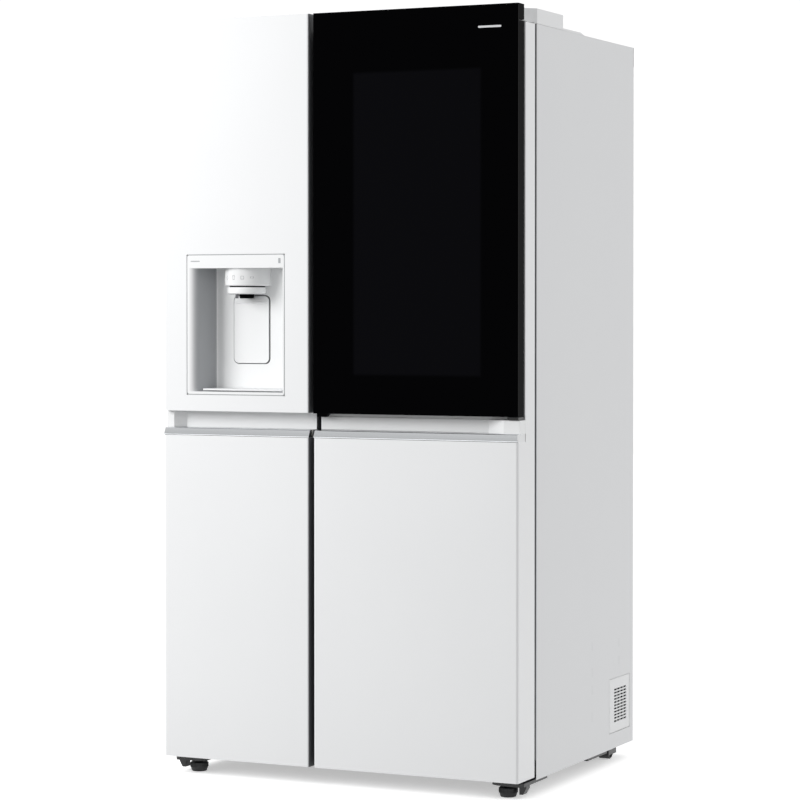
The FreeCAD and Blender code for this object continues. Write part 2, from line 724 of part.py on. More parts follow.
def handle_recess(x, top, outer_depth, ramp, outer_on_left):
    """Grip channel moulding: its back wall comes forward towards the outer edge of the door."""
    flat_y, rear_y = FRONT + GRIP_DEPTH, FRONT + GRIP_DEPTH + 4
    z = (TRIM_TOP, top)
    flat = box(x, (flat_y, rear_y), z)
    start, length = ramp
    if outer_on_left:
        ends = [x[0], x[0] + start, x[0] + start + length]
    else:
        ends = [x[1], x[1] - start, x[1] - start - length]
    wedge = prism(
        [
            (ends[0], flat_y), (ends[0], FRONT + outer_depth),
            (ends[1], FRONT + outer_depth), (ends[2], flat_y),
        ],
        "z", *z,
    )
    # closing strip above the channel, clear of the hinge bracket of the outer door
    strip = box(x, (flat_y + 2, rear_y), (top - 1, GRIP_TOP)) if top < GRIP_TOP else None
    return group([flat, wedge] if strip is None else [join([flat, strip]), wedge])


def handle_trim(x):
    """Bright bevelled strip along the top of the lower panel."""
    outline = [
        (FRONT, TRIM_BOTTOM), (FRONT, TRIM_BOTTOM + 3), (FRONT + 7, TRIM_TOP),
        (FRONT + GRIP_DEPTH + 4, TRIM_TOP), (FRONT + GRIP_DEPTH + 4, TRIM_BOTTOM),
    ]
    return prism(outline, "x", x[0] + 0.5, x[1] - 0.5)


def niche_outline():
    """Plan of the glass space: its left wall rolls in from the bezel and leans towards the rear."""
    x, turns = NICHE_X[0] + 3, 6
    roll = [
        (x + NICHE_ROLL * math.sin(a), FRONT + NICHE_ROLL * (1 - math.cos(a)))
        for a in [math.pi / 2 * i / turns for i in range(turns + 1)]
    ]
    rear = FRONT + NICHE_WALL
    right = NICHE_X[1] - 5
    return [(x, FRONT - 1)] + roll + [(NICHE_X[0] + NICHE_LEAN, rear), (right, rear), (right, FRONT - 1)]


def dispenser_housing():
    """Bezel and niche of the dispenser in one moulding."""
    wall = 2.5
    outer = box(
        (NICHE_X[0] - 2, NICHE_X[1] + 2), (FRONT + SHEET, FRONT + NICHE_DEPTH + 3.5),
        (NICHE_Z[0] - 2, NICHE_Z[1] + 2),
    )
    bezel = box(NICHE_X, (FRONT, FRONT + SHEET), NICHE_Z)
    room = prism(niche_outline(), "z", NICHE_Z[0] + 9, BAR_BOTTOM)
    bar_room = box(
        (NICHE_X[0] + 40, NICHE_X[1] - 5),
        (FRONT + 6, FRONT + NICHE_WALL),
        (BAR_BOTTOM - 1, NICHE_Z[1] - wall),
    )
    pocket = box(
        (PAD_X[0] - 3, PAD_X[1] + 3),
        (FRONT + NICHE_WALL - 1, FRONT + NICHE_DEPTH),
        (PAD_Z[0] - 3, PAD_Z[1] + 4),
    )
    return join([outer, bezel]).cut([room, bar_room, pocket])


def dispenser_head():
    """Round control head hanging from the top bar, with the outlet ring below it."""
    y = FRONT + 62
    base = rod(HEAD_RADIUS, (HEAD_X, y, 1161), (HEAD_X, y, NICHE_Z[1] - 3))
    base = base.common(box((NICHE_X[0] + 8, NICHE_X[1] - 6), (FRONT + 7, FRONT + NICHE_WALL), (1100, 1240)))
    ring = rod(46, (HEAD_X, y - 6, 1142), (HEAD_X, y - 6, 1158))
    neck = rod(38, (HEAD_X, y - 4, 1157), (HEAD_X, y - 4, 1162))
    chute = rod(17, (HEAD_X, y - 6, 1132), (HEAD_X, y - 6, 1143))
    chute = chute.cut(rod(13, (HEAD_X, y - 6, 1125), (HEAD_X, y - 6, 1141)))
    spout = rod(3.5, (HEAD_X, y - 40, 1134), (HEAD_X, y - 40, 1143))
    rear = box((NICHE_X[0] + 8, NICHE_X[1] - 6), (FRONT, FRONT + NICHE_WALL - 0.5), (1100, 1240))
    return join([base, neck, ring, chute, spout]).common(rear)


PAD_X = (-307.5, -214.5)
PAD_Z = (978.5, 1124.0)
PAD_Y = (FRONT + 75.0, FRONT + 78.5)
PAD_AXIS_Z = 1122.0


def dispenser_pad():
    """Push plate that hangs from a cross pin behind the outlet."""
    plate = box(PAD_X, PAD_Y, (PAD_Z[0], PAD_AXIS_Z - 4))
    corners = [
        e for e in plate.Edges
        if all(abs(v.Point.z - PAD_Z[0]) < 1e-6 for v in e.Vertexes)
        and abs(e.Vertexes[0].Point.y - e.Vertexes[-1].Point.y) > 1e-3
    ]
    plate = plate.makeFillet(12, corners)
    barrel = rod(4.0, (PAD_X[0] + 4, PAD_Y[0] + 3, PAD_AXIS_Z), (PAD_X[1] - 4, PAD_Y[0] + 3, PAD_AXIS_Z))
    neck = box((PAD_X[0] + 10, PAD_X[1] - 10), (PAD_Y[0] + 1, PAD_Y[1] - 0.5), (PAD_AXIS_Z - 8, PAD_AXIS_Z))
    return join([plate, barrel, neck])


def drip_grille():
    """Slotted tray insert on the floor of the niche."""
    x, y = (NICHE_X[0] + NICHE_LEAN + 3, NICHE_X[1] - 10), (FRONT + 6, FRONT + NICHE_WALL - 3)
    z = (NICHE_Z[0] + 9, NICHE_Z[0] + 13)
    plate = box(x, y, z)
    count = 20
    pitch = (x[1] - x[0] - 12) / count
    slots = [
        box(
            (x[0] + 6 + i * pitch + 2, x[0] + 6 + (i + 1) * pitch - 2),
            (y[0] + 8, y[1] - 8),
            (z[0] - 1, z[1] + 1),
        )
        for i in range(count)
    ]
    return plate.cut(slots)


BASKET_REAR = CABINET_FRONT + 100


def baskets(x, heights, deep=70.0):
    """Open-topped door baskets held between the ribs."""
    return group([
        hollow(x, (DOOR_REAR + 0.2, BASKET_REAR), (z, z + deep), 3.0, "top") for z in heights
    ])


FREEZER_BASKETS = (600.0, 760.0, 920.0, 1080.0)
FRIDGE_BASKETS = (600.0, 760.0, 940.0, 1180.0, 1420.0)
BIN_Z = (1250.0, 1400.0)
MAKER_Z = (1450.0, 1600.0)
BIN_Y = (DOOR_REAR + 8, DOOR_REAR + 106)
AUGER_Y = BIN_Y[0] + 49
AUGER_Z = BIN_Z[0] + 32


def freezer_door_baskets():
    return baskets((FREEZER_RIBS[0][1], FREEZER_RIBS[1][0]), FREEZER_BASKETS)


def fridge_door_baskets():
    return baskets((FRIDGE_RIBS[0][1], FRIDGE_RIBS[1][0]), FRIDGE_BASKETS)


def ice_maker():
    """Ice mould with its drive box, above the bin."""
    x = (FREEZER_RIBS[0][1], FREEZER_RIBS[1][0])
    mould_z = (MAKER_Z[0], MAKER_Z[0] + 48)
    mould = hollow((x[0] + 46, x[1] - 8), (DOOR_REAR, DOOR_REAR + 96), mould_z, 3.0, "top")
    drive = box((x[0], x[0] + 44), (DOOR_REAR, DOOR_REAR + 92), (MAKER_Z[0] - 6, MAKER_Z[0] + 92))
    return group([mould, drive])


def ice_bin():
    """Clear ice bin that lifts off the door."""
    x = (FREEZER_RIBS[0][1] + 1, FREEZER_RIBS[1][0] - 1)
    tub = hollow(x, BIN_Y, BIN_Z, 3.0, "top")
    return tub.cut(rod(4.0 + FIT_GAP, (x[0] - 1, AUGER_Y, AUGER_Z), (x[1] + 1, AUGER_Y, AUGER_Z)))


def ice_auger():
    """Shaft with flat paddles that pushes ice along the bin."""
    x = (FREEZER_RIBS[0][1] + 1.5, FREEZER_RIBS[1][0] - 1.5)
    shaft = rod(4.0, (x[0], AUGER_Y, AUGER_Z), (x[1], AUGER_Y, AUGER_Z))
    paddles = []
    count = 8
    pitch = (x[1] - x[0] - 24) / count
    for i in range(count):
        at = x[0] + 12 + (i + 0.5) * pitch
        paddle = box((at - 1.5, at + 1.5), (AUGER_Y - 6, AUGER_Y + 6), (AUGER_Z - 24, AUGER_Z + 24))
        paddle.rotate(FreeCAD.Vector(at, AUGER_Y, AUGER_Z), FreeCAD.Vector(1, 0, 0), 45 * i)
        paddles.append(paddle)
    return join([shaft] + paddles)


# ---- outer door with the window ----
OUTER_Y = (FRONT, FRONT + OUTER_DOOR_DEPTH)
GLASS = 4.0
OUTER_PIVOT = (RIGHT - 9.0, FRONT + 12.0)
TONGUE_Z = (SHOULDER_TOP, SHOULDER_TOP + 2.5)


def outer_door_frame():
    """Black casing of the outer door as four bars around the window."""
    x = FRIDGE_DOOR_X
    z = (OUTER_DOOR_BOTTOM, HEIGHT)
    form = round_front(x, (OUTER_Y[0] + GLASS, OUTER_Y[1]), z, 1.0)
    trim = 5.0
    corner = prism(
        [(x[1] + 1, OUTER_Y[1] - trim), (x[1] - trim, OUTER_Y[1] + 1), (x[1] + 1, OUTER_Y[1] + 1)],
        "z", z[0] - 1, z[1] + 1,
    )
    form = form.cut(corner)
    spans = [
        ((x[0], WINDOW_X[0]), z), ((WINDOW_X[1], x[1]), z),
        (WINDOW_X, (z[0], WINDOW_Z[0])), (WINDOW_X, (WINDOW_Z[1], z[1])),
    ]
    bars = [form.common(box(sx, (FRONT - 1, INNER_FRONT_Y), sz)) for sx, sz in spans]
    px, py = OUTER_PIVOT
    radius = 3.0 + FIT_GAP
    holes = [
        rod(radius, (px, py, z[0] - 1), (px, py, z[0] + 22)),
        rod(radius, (px, py, TONGUE_Z[1]), (px, py, TONGUE_Z[1] + 24)),
        box((px - 8, x[1] + 1), (py - 6, INNER_FRONT_Y), (TONGUE_Z[0] - 0.5, TONGUE_Z[1] + 0.5)),
    ]
    latch_x = (SPLIT_RIGHT - 1, LEVER_X[1] + 6)
    latch_room = box(latch_x, (LEVER_Y[0] - 1, INNER_FRONT_Y), (z[0] - 1, z[0] + 12))
    return group([bars[0].cut(latch_room), bars[1].cut(holes), bars[2].cut(latch_room), bars[3]])


def outer_door_glass():
    """Dark front glass, with the rear pane of the window behind it."""
    front = round_front(
        FRIDGE_DOOR_X, (OUTER_Y[0], OUTER_Y[0] + GLASS), (OUTER_DOOR_BOTTOM, HEIGHT), 1.0
    )
    rear = box(WINDOW_X, (OUTER_Y[1] - 8, OUTER_Y[1] - 4), WINDOW_Z)
    return group([front, rear])


def outer_door_gasket():
    y = (OUTER_Y[1], INNER_FRONT_Y - 0.4)
    return gasket((PASS_X[0] - 30, PASS_X[1] + 30), y, (PASS_Z[0] - 30, PASS_Z[1] + 30), 12.0)


LEVER_X = (SPLIT_RIGHT + 0.5, -26.0)
LEVER_Y = (FRONT + 18.0, FRONT + 37.0)
LEVER_Z = (856.5, OUTER_DOOR_BOTTOM + 8)


def release_lever():
    """Latch button under the free corner of the outer door; its inner end is slanted."""
    outline = [
        (LEVER_X[0], LEVER_Z[0]), (LEVER_X[1] - 8, LEVER_Z[0]), (LEVER_X[1], LEVER_Z[0] + 9),
        (LEVER_X[1], LEVER_Z[1]), (LEVER_X[0], LEVER_Z[1]),
    ]
    return prism(outline, "y", LEVER_Y[0], LEVER_Y[1] - 6)


def outer_door_hinges():
    """Brackets on the fridge door that hold the outer door's pins."""
    px, py = OUTER_PIVOT
    low_arm = box((px - 20, px + 7), (py - 5, FRONT + GRIP_DEPTH + 1), (858, 864))
    low_pin = rod(3.0, (px, py, 860), (px, py, OUTER_DOOR_BOTTOM + 18))
    top_arm = box((px - 6, px + 4), (py - 4, FRONT + 62), TONGUE_Z)
    top_pin = rod(3.0, (px, py, TONGUE_Z[0] + 1), (px, py, TONGUE_Z[1] + 20))
    return group([join([low_arm, low_pin]), join([top_arm, top_pin])])


# ---- every sub-part under its own name ----
PARTS = {
    "left_side_panel": side_panel(),
    "right_side_panel": right_side_panel(),
    "top_panel": top_panel(),
    "back_panel": back_panel(),
    "front_frame": front_frame(),
    "freezer_liner": liner(FREEZER_X),
    "fridge_liner": liner(FRIDGE_X),
    "insulation_foam": insulation_foam(),
    "base_frame": base_frame(),
    "door_hinges": group([bottom_hinges(), top_hinges()]),
    "hinge_covers": hinge_covers(),
    "side_vent_grille": side_vent_grille(),
    "machine_room_cover": machine_room_cover(),
    "compressor": compressor(),
    "condenser_coil": condenser_coil(),
    "condenser_fan_frame": fan_frame(CONDENSER_FAN, FAN_Y - 22, FAN_Y + 12, 62.0, 55.0),
    "condenser_fan": fan_rotor(CONDENSER_FAN, FAN_Y - 20, FAN_Y + 2, 52.0),
    "drain_pan": drain_pan(),
    "evaporator_coil": evaporator_coil(),
    "evaporator_cover": group([evaporator_cover(), fan_frame(EVAPORATOR_FAN, 236.5, 270, 56.0, 48.0)]),
    "evaporator_fan": fan_rotor(EVAPORATOR_FAN, 241, 261, 45.0, 10.5),
    "fridge_air_duct": fridge_air_duct(),
    "glass_shelves": glass_shelves(),
    "interior_lamps": interior_lamps(),
    "water_inlet_valve": water_inlet_valve(),
    "cabinet_screws": cabinet_screws(),
    "levelling_foot_left": levelling_foot(-1),
    "levelling_foot_right": levelling_foot(1),
    "rear_roller_left": rear_roller(-1),
    "rear_roller_right": rear_roller(1),
    "freezer_drawer_lower": drawer(FREEZER_X, LOW_DRAWER_Y, LOW_DRAWER_Z),
    "freezer_drawer_upper": drawer(FREEZER_X, HIGH_DRAWER_Y, HIGH_DRAWER_Z),
    "crisper_drawer_lower": drawer(FRIDGE_X, LOW_DRAWER_Y, LOW_DRAWER_Z),
    "crisper_drawer_upper": drawer(FRIDGE_X, HIGH_DRAWER_Y, HIGH_DRAWER_Z),
    "freezer_door_skin": freezer_door_skin(),
    "freezer_door_foam": freezer_door_foam(),
    "freezer_door_liner": freezer_door_liner(),
    "freezer_door_gasket": freezer_door_gasket(),
    "freezer_door_baskets": freezer_door_baskets(),
    "freezer_handle_recess": handle_recess(FREEZER_DOOR_X, GRIP_TOP, 17.0, (18.0, 22.0), True),
    "freezer_handle_trim": handle_trim(FREEZER_DOOR_X),
    "dispenser_housing": dispenser_housing(),
    "dispenser_head": dispenser_head(),
    "dispenser_pad": dispenser_pad(),
    "drip_grille": drip_grille(),
    "ice_maker": ice_maker(),
    "ice_bin": ice_bin(),
    "ice_auger": ice_auger(),
    "fridge_door_skin": fridge_door_skin(),
    "fridge_door_foam": fridge_door_foam(),
    "fridge_door_liner": fridge_door_liner(),
    "fridge_door_gasket": fridge_door_gasket(),
    "fridge_door_baskets": fridge_door_baskets(),
    "fridge_handle_recess": handle_recess(FRIDGE_DOOR_X, FRIDGE_GRIP_TOP, 11.0, (40.0, 50.0), False),
    "fridge_handle_trim": handle_trim(FRIDGE_DOOR_X),
    "outer_door_frame": outer_door_frame(),
    "outer_door_glass": outer_door_glass(),
    "outer_door_gasket": outer_door_gasket(),
    "outer_door_hinge": outer_door_hinges(),
    "release_lever": release_lever(),
}

for name, shape in PARTS.items():
    shape.exportStep(os.path.join("parts", name + ".step"))
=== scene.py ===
import json
import math

import bmesh
import bpy
from mathutils import Matrix, Vector


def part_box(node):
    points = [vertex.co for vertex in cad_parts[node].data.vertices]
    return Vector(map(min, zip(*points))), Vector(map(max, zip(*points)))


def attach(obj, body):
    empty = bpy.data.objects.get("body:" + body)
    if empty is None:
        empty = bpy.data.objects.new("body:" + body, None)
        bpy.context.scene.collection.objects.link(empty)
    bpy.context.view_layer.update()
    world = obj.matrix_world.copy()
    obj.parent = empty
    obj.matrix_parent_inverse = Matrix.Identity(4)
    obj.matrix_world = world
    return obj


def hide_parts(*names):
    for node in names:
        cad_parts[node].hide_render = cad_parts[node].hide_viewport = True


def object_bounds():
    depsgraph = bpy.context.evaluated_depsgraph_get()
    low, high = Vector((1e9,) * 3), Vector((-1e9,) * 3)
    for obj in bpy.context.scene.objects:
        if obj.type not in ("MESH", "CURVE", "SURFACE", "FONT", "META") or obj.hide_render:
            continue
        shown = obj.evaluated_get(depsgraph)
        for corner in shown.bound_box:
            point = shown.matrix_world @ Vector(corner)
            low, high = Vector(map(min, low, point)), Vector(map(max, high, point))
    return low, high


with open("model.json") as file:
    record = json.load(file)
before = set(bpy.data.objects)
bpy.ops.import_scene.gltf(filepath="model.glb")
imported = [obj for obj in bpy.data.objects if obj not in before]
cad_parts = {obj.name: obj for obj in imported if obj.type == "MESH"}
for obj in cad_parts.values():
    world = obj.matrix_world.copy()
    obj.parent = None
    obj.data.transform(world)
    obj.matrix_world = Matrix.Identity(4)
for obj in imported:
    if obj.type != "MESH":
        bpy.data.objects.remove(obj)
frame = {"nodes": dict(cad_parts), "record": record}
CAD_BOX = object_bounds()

MM = 0.001
BODY_OF = {n: b for b, ns in frame["record"]["behaviour"]["bodies"].items() for n in ns}
SLOT_OF = {p["node"]: p["material_slot"] for p in frame["record"]["subparts"]}
LOW, HIGH = Vector(CAD_BOX[0]), Vector(CAD_BOX[1])


# ---------------------------------------------------------------- materials
def linear(code):
    """An sRGB hex colour as linear RGBA."""
    parts = [int(code[i:i + 2], 16) / 255 for i in (1, 3, 5)]
    return [p / 12.92 if p <= 0.04045 else ((p + 0.055) / 1.055) ** 2.4 for p in parts] + [1.0]


def add(tree, kind, inputs=None, **settings):
    """Adds a node, sets what it is given and links the sockets it is given."""
    made = tree.nodes.new(kind)
    for name, value in settings.items():
        setattr(made, name, value)
    for key, value in (inputs or {}).items():
        if isinstance(value, bpy.types.NodeSocket):
            tree.links.new(value, made.inputs[key])
        else:
            made.inputs[key].default_value = value
    return made


def begin(name):
    material = bpy.data.materials.new(name)
    material.use_nodes = True
    tree = material.node_tree
    tree.nodes.clear()
    place = add(tree, "ShaderNodeTexCoord").outputs["Object"]
    return material, tree, place


def end(material, tree, shader):
    add(tree, "ShaderNodeOutputMaterial", {"Surface": shader.outputs[0]})
    return material


def speckled(name, light, dark, grain_mm, rough, bump, **sockets):
    """A surface whose colour drifts a little from place to place and whose fine grain stands up.

    grain_mm is the size of the grain, rough its (lowest, highest) roughness, bump its height in mm.
    """
    material, tree, place = begin(name)
    drift = add(tree, "ShaderNodeTexNoise", {"Vector": place, "Scale": 3.1, "Detail": 3.0})
    grain = add(tree, "ShaderNodeTexNoise", {"Vector": place, "Scale": 0.5 / (grain_mm * MM), "Detail": 2.0})
    tint = add(tree, "ShaderNodeMix", {"Factor": drift.outputs["Fac"]}, data_type="RGBA")
    tint.inputs[6].default_value = linear(dark)
    tint.inputs[7].default_value = linear(light)
    gloss = add(
        tree, "ShaderNodeMapRange", {"Value": drift.outputs["Fac"], "To Min": rough[0], "To Max": rough[1]},
    )
    relief = add(
        tree, "ShaderNodeBump", {"Height": grain.outputs["Fac"], "Distance": bump * MM, "Strength": 0.6},
    )
    shader = add(tree, "ShaderNodeBsdfPrincipled", {
        "Base Color": tint.outputs[2], "Roughness": gloss.outputs[0], "Normal": relief.outputs[0], **sockets,
    })
    return end(material, tree, shader)


def brushed(name, light, dark, along, line_mm, rough, **sockets):
    """Metal with fine parallel lines that run along one axis (0, 1 or 2)."""
    material, tree, place = begin(name)
    stretch = [0.5 / (line_mm * MM)] * 3
    stretch[along] = 4.0
    lines = add(tree, "ShaderNodeMapping", {"Vector": place, "Scale": stretch})
    grain = add(tree, "ShaderNodeTexNoise", {"Vector": lines.outputs[0], "Scale": 1.0, "Detail": 3.0})
    tint = add(tree, "ShaderNodeMix", {"Factor": grain.outputs["Fac"]}, data_type="RGBA")
    tint.inputs[6].default_value = linear(dark)
    tint.inputs[7].default_value = linear(light)
    gloss = add(
        tree, "ShaderNodeMapRange", {"Value": grain.outputs["Fac"], "To Min": rough[0], "To Max": rough[1]},
    )
    relief = add(
        tree, "ShaderNodeBump", {"Height": grain.outputs["Fac"], "Distance": 0.02 * MM, "Strength": 0.35},
    )
    shader = add(tree, "ShaderNodeBsdfPrincipled", {
        "Base Color": tint.outputs[2], "Roughness": gloss.outputs[0], "Normal": relief.outputs[0],
        "Metallic": 1.0, **sockets,
    })
    return end(material, tree, shader)


def white_coated_steel():
    """Film-coated steel sheet, rolled: near-white, satin, with a faint orange peel drawn at 5 mm to show."""
    return speckled("white_coated_steel", "#F6F7F8", "#F2F3F4", 5.0, (0.26, 0.32), 0.02, IOR=1.5)


def side_coated_steel():
    """Pre-painted cabinet sheet: a shade greyer and more matt than the doors."""
    return speckled("side_coated_steel", "#E9EAEB", "#E4E5E7", 4.0, (0.38, 0.46), 0.03, IOR=1.5)


def white_moulded_abs():
    """Injection-moulded ABS: soft white with a fine spark-eroded grain."""
    return speckled("white_moulded_abs", "#F1F2F3", "#ECEDEE", 0.8, (0.34, 0.42), 0.02, IOR=1.53)


def glossy_white_abs():
    """Polished mould face: brighter and glossier than the grained ABS."""
    return speckled("glossy_white_abs", "#F7F8F8", "#F3F4F5", 6.0, (0.16, 0.22), 0.01, IOR=1.53)


def formed_liner_hips():
    """Vacuum-formed polystyrene liner: white, slightly pearly."""
    return speckled("formed_liner_hips", "#F4F6F7", "#EEF1F2", 3.0, (0.24, 0.32), 0.02, IOR=1.59)


def grey_moulded_abs():
    return speckled("grey_moulded_abs", "#8B8E92", "#7E8185", 0.8, (0.42, 0.5), 0.03, IOR=1.53)


def black_moulded_abs():
    """Black ABS casing: deep, semi-gloss, with dust-fine grain."""
    return speckled(
        "black_moulded_abs", "#070708", "#040405", 0.8, (0.4, 0.5), 0.02,
        **{"IOR": 1.53, "Specular IOR Level": 0.015}
    )


def niche_painted_shade():
    """Painted shade on the dispenser's left wall: white at the rim, fading to grey where the wall leans in,
    standing in for the shade that falls there.
    """
    material, tree, place = begin("niche_painted_shade")
    rim_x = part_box("dispenser_housing")[0].x
    drift = add(tree, "ShaderNodeTexNoise", {"Vector": place, "Scale": 9.0, "Detail": 3.0})
    across = add(tree, "ShaderNodeSeparateXYZ", {0: place})
    shade = add(tree, "ShaderNodeMapRange", {
        "Value": across.outputs["X"], "From Min": rim_x + 8 * MM, "From Max": rim_x + 27 * MM,
    }, interpolation_type="SMOOTHSTEP")
    tint = add(tree, "ShaderNodeMix", {"Factor": shade.outputs[0]}, data_type="RGBA")
    tint.inputs[6].default_value = linear("#F2F2F3")
    tint.inputs[7].default_value = linear("#A6A8AB")
    gloss = add(tree, "ShaderNodeMapRange", {"Value": drift.outputs["Fac"], "To Min": 0.3, "To Max": 0.4})
    shader = add(
        tree, "ShaderNodeBsdfPrincipled",
        {"Base Color": tint.outputs[2], "Roughness": gloss.outputs[0], "IOR": 1.5},
    )
    return end(material, tree, shader)


def seam_painted_shadow():
    """Painted shadow: grey strip in the gap round the dispenser moulding, standing in for its shadow line."""
    return speckled("seam_painted_shadow", "#A9ABAD", "#9DA0A2", 1.5, (0.5, 0.6), 0.02, IOR=1.5)


def gap_shade_and_grey_pvc():
    """Painted shade in grey for faces in the gaps between and behind the doors, under the handle trims and in
    the pad's pocket and slot; the small spout takes it as its own grey.
    """
    return speckled("gap_shade_and_grey_pvc", "#6C6D70", "#626366", 1.5, (0.45, 0.55), 0.03, IOR=1.5)


def seal_pvc():
    """Soft extruded seal: grey, matt, with a slight sheen."""
    return speckled("seal_pvc", "#77797C", "#6A6C6F", 1.2, (0.55, 0.7), 0.05, IOR=1.5)


def black_rubber():
    return speckled("black_rubber", "#17181A", "#101112", 1.0, (0.6, 0.75), 0.06, IOR=1.5)


def nylon_black():
    """Glass-filled nylon of the feet: black and dull, with a sandy grain."""
    return speckled("nylon_black", "#1B1C1E", "#121314", 0.9, (0.45, 0.6), 0.05, IOR=1.53)


def black_enamel():
    """Stoved enamel on the compressor and chassis: black with a soft gloss."""
    return speckled("black_enamel", "#141516", "#0D0E0F", 2.0, (0.25, 0.38), 0.04, IOR=1.5)


def rigid_foam():
    """Foamed polyurethane: buff, with cells drawn at 2 mm."""
    return speckled("rigid_foam", "#ECE8DA", "#E2DCCB", 2.0, (0.8, 0.95), 0.5, IOR=1.5)


def bright_rolled_trim():
    """Bright-plated rolled trim: mirror-like with a faint drawn line along its length."""
    return brushed("bright_rolled_trim", "#EDEFF1", "#DADDE0", 0, 0.6, (0.1, 0.18))


def zinc_plated_steel():
    """Zinc-plated pressed steel: cool grey with a soft rolled grain."""
    return brushed("zinc_plated_steel", "#B9BDC2", "#9A9FA5", 0, 0.8, (0.3, 0.46))


def mill_aluminium():
    return brushed("mill_aluminium", "#D5D8DB", "#BCC0C4", 2, 0.7, (0.25, 0.4))


def printed_glass():
    """Toughened front glass, printed black at its border; the print thins into dots round a dark window."""
    low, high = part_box("outer_door_glass")
    material, tree, place = begin("printed_glass")
    at = add(tree, "ShaderNodeSeparateXYZ", {0: place})
    edges = (
        ("X", low.x + 104.1 * MM, 1), ("X", high.x - 91.5 * MM, -1), ("Z", low.z + 91 * MM, 1),
        ("Z", high.z - 142.4 * MM, -1),
    )
    inside = None
    for axis, edge, way in edges:
        ramp = add(tree, "ShaderNodeMapRange", {
            "Value": at.outputs[axis], "From Min": edge - 5 * MM * way, "From Max": edge + 5 * MM * way,
        }, interpolation_type="SMOOTHSTEP")
        inside = ramp.outputs[0] if inside is None else add(
            tree, "ShaderNodeMath", {0: inside, 1: ramp.outputs[0]}, operation="MULTIPLY",
        ).outputs[0]
    haze = add(tree, "ShaderNodeTexNoise", {"Vector": place, "Scale": 2.2, "Detail": 2.0})
    gloss = add(tree, "ShaderNodeMapRange", {"Value": haze.outputs["Fac"], "To Min": 0.05, "To Max": 0.08})
    depth = add(tree, "ShaderNodeMix", {"Factor": inside}, data_type="RGBA")
    depth.inputs[6].default_value = linear("#010102")
    depth.inputs[7].default_value = linear("#08080B")
    shader = add(
        tree, "ShaderNodeBsdfPrincipled",
        {
            "Base Color": depth.outputs[2], "Roughness": gloss.outputs[0], "IOR": 1.5,
            "Specular IOR Level": 0.025,
        },
    )
    return end(material, tree, shader)


def print_light():
    """Screen-printed ink on the black glass: light grey, matt."""
    return speckled("print_light", "#E2E3E5", "#D5D6D8", 1.0, (0.5, 0.6), 0.01, IOR=1.5)


def print_grey():
    """Screen-printed ink: mid grey, matt."""
    return speckled("print_grey", "#B4B6B9", "#A9ABAE", 1.0, (0.5, 0.6), 0.01, IOR=1.5)


def clear(name, tint, rough, ior, strength):
    """Clear moulding or pane: light passes through, edges pick up the tint."""
    material, tree, place = begin(name)
    haze = add(tree, "ShaderNodeTexNoise", {"Vector": place, "Scale": 9.0, "Detail": 2.0})
    gloss = add(
        tree, "ShaderNodeMapRange", {"Value": haze.outputs["Fac"], "To Min": rough, "To Max": rough + 0.06},
    )
    edge = add(tree, "ShaderNodeLayerWeight", {"Blend": 0.35})
    through = add(tree, "ShaderNodeBsdfTransparent", {"Color": linear(tint)})
    shader = add(tree, "ShaderNodeBsdfPrincipled", {
        "Base Color": linear(tint), "Roughness": gloss.outputs[0], "IOR": ior,
    })
    share = add(tree, "ShaderNodeMapRange", {
        "Value": edge.outputs["Facing"], "To Min": strength, "To Max": min(1.0, strength + 0.5),
    })
    mixed = add(tree, "ShaderNodeMixShader", {
        0: share.outputs[0], 1: through.outputs[0], 2: shader.outputs[0],
    })
    return end(material, tree, mixed)


def clear_polystyrene():
    """Clear moulded polystyrene of drawers and baskets."""
    return clear("clear_polystyrene", "#EAF1F6", 0.06, 1.59, 0.22)


def shelf_glass():
    """Toughened shelf glass with a green cast at its edges."""
    return clear("shelf_glass", "#DCEFE8", 0.03, 1.52, 0.16)


def lamp_diffuser():
    return speckled("lamp_diffuser", "#FBFBF7", "#F4F4EE", 2.0, (0.5, 0.6), 0.02, IOR=1.49)


FINISHES = {
    "white_steel": white_coated_steel(), "side_steel": side_coated_steel(), "galvanised": zinc_plated_steel(),
    "polished_steel": bright_rolled_trim(), "white_plastic": white_moulded_abs(),
    "gloss_white": glossy_white_abs(), "liner": formed_liner_hips(), "grey_plastic": grey_moulded_abs(),
    "black_plastic": black_moulded_abs(), "clear_plastic": clear_polystyrene(), 
    "printed_glass": printed_glass(), "print_grey": print_grey(), "print_light": print_light(),
    "niche_painted_shade": niche_painted_shade(), "seam_painted_shadow": seam_painted_shadow(), "shelf_glass": shelf_glass(),
    "aluminium": mill_aluminium(), "foam": rigid_foam(), "seal_rubber": seal_pvc(),
    "black_rubber": black_rubber(), "black_enamel": black_enamel(), "steel_screw": zinc_plated_steel(),
    "lamp": lamp_diffuser(), "gap_shade_and_grey": gap_shade_and_grey_pvc(), "nylon": nylon_black(),
}


# ---------------------------------------------------------------- mesh helpers
def as_object(name, bm, finish):
    mesh = bpy.data.meshes.new(name)
    bm.to_mesh(mesh)
    bm.free()
    piece = bpy.data.objects.new(name, mesh)
    bpy.context.scene.collection.objects.link(piece)
    mesh.materials.append(FINISHES[finish])
    return piece


def settle(piece):
    """Applies a piece's modifiers to its mesh and takes them off."""
    bpy.context.view_layer.update()
    seen = piece.evaluated_get(bpy.context.evaluated_depsgraph_get())
    mesh = bpy.data.meshes.new_from_object(seen)
    piece.modifiers.clear()
    piece.data = mesh
    mesh.name = piece.name
    return piece


def shaded(piece, angle=32):
    """Smooth between sharp edges, with the large faces kept truly flat."""
    for face in piece.data.polygons:
        face.use_smooth = True
    piece.data.set_sharp_from_angle(angle=math.radians(angle))
    weights = piece.modifiers.new("weights", "WEIGHTED_NORMAL")
    weights.mode = "FACE_AREA"
    weights.weight = 100
    weights.keep_sharp = True
    return settle(piece)


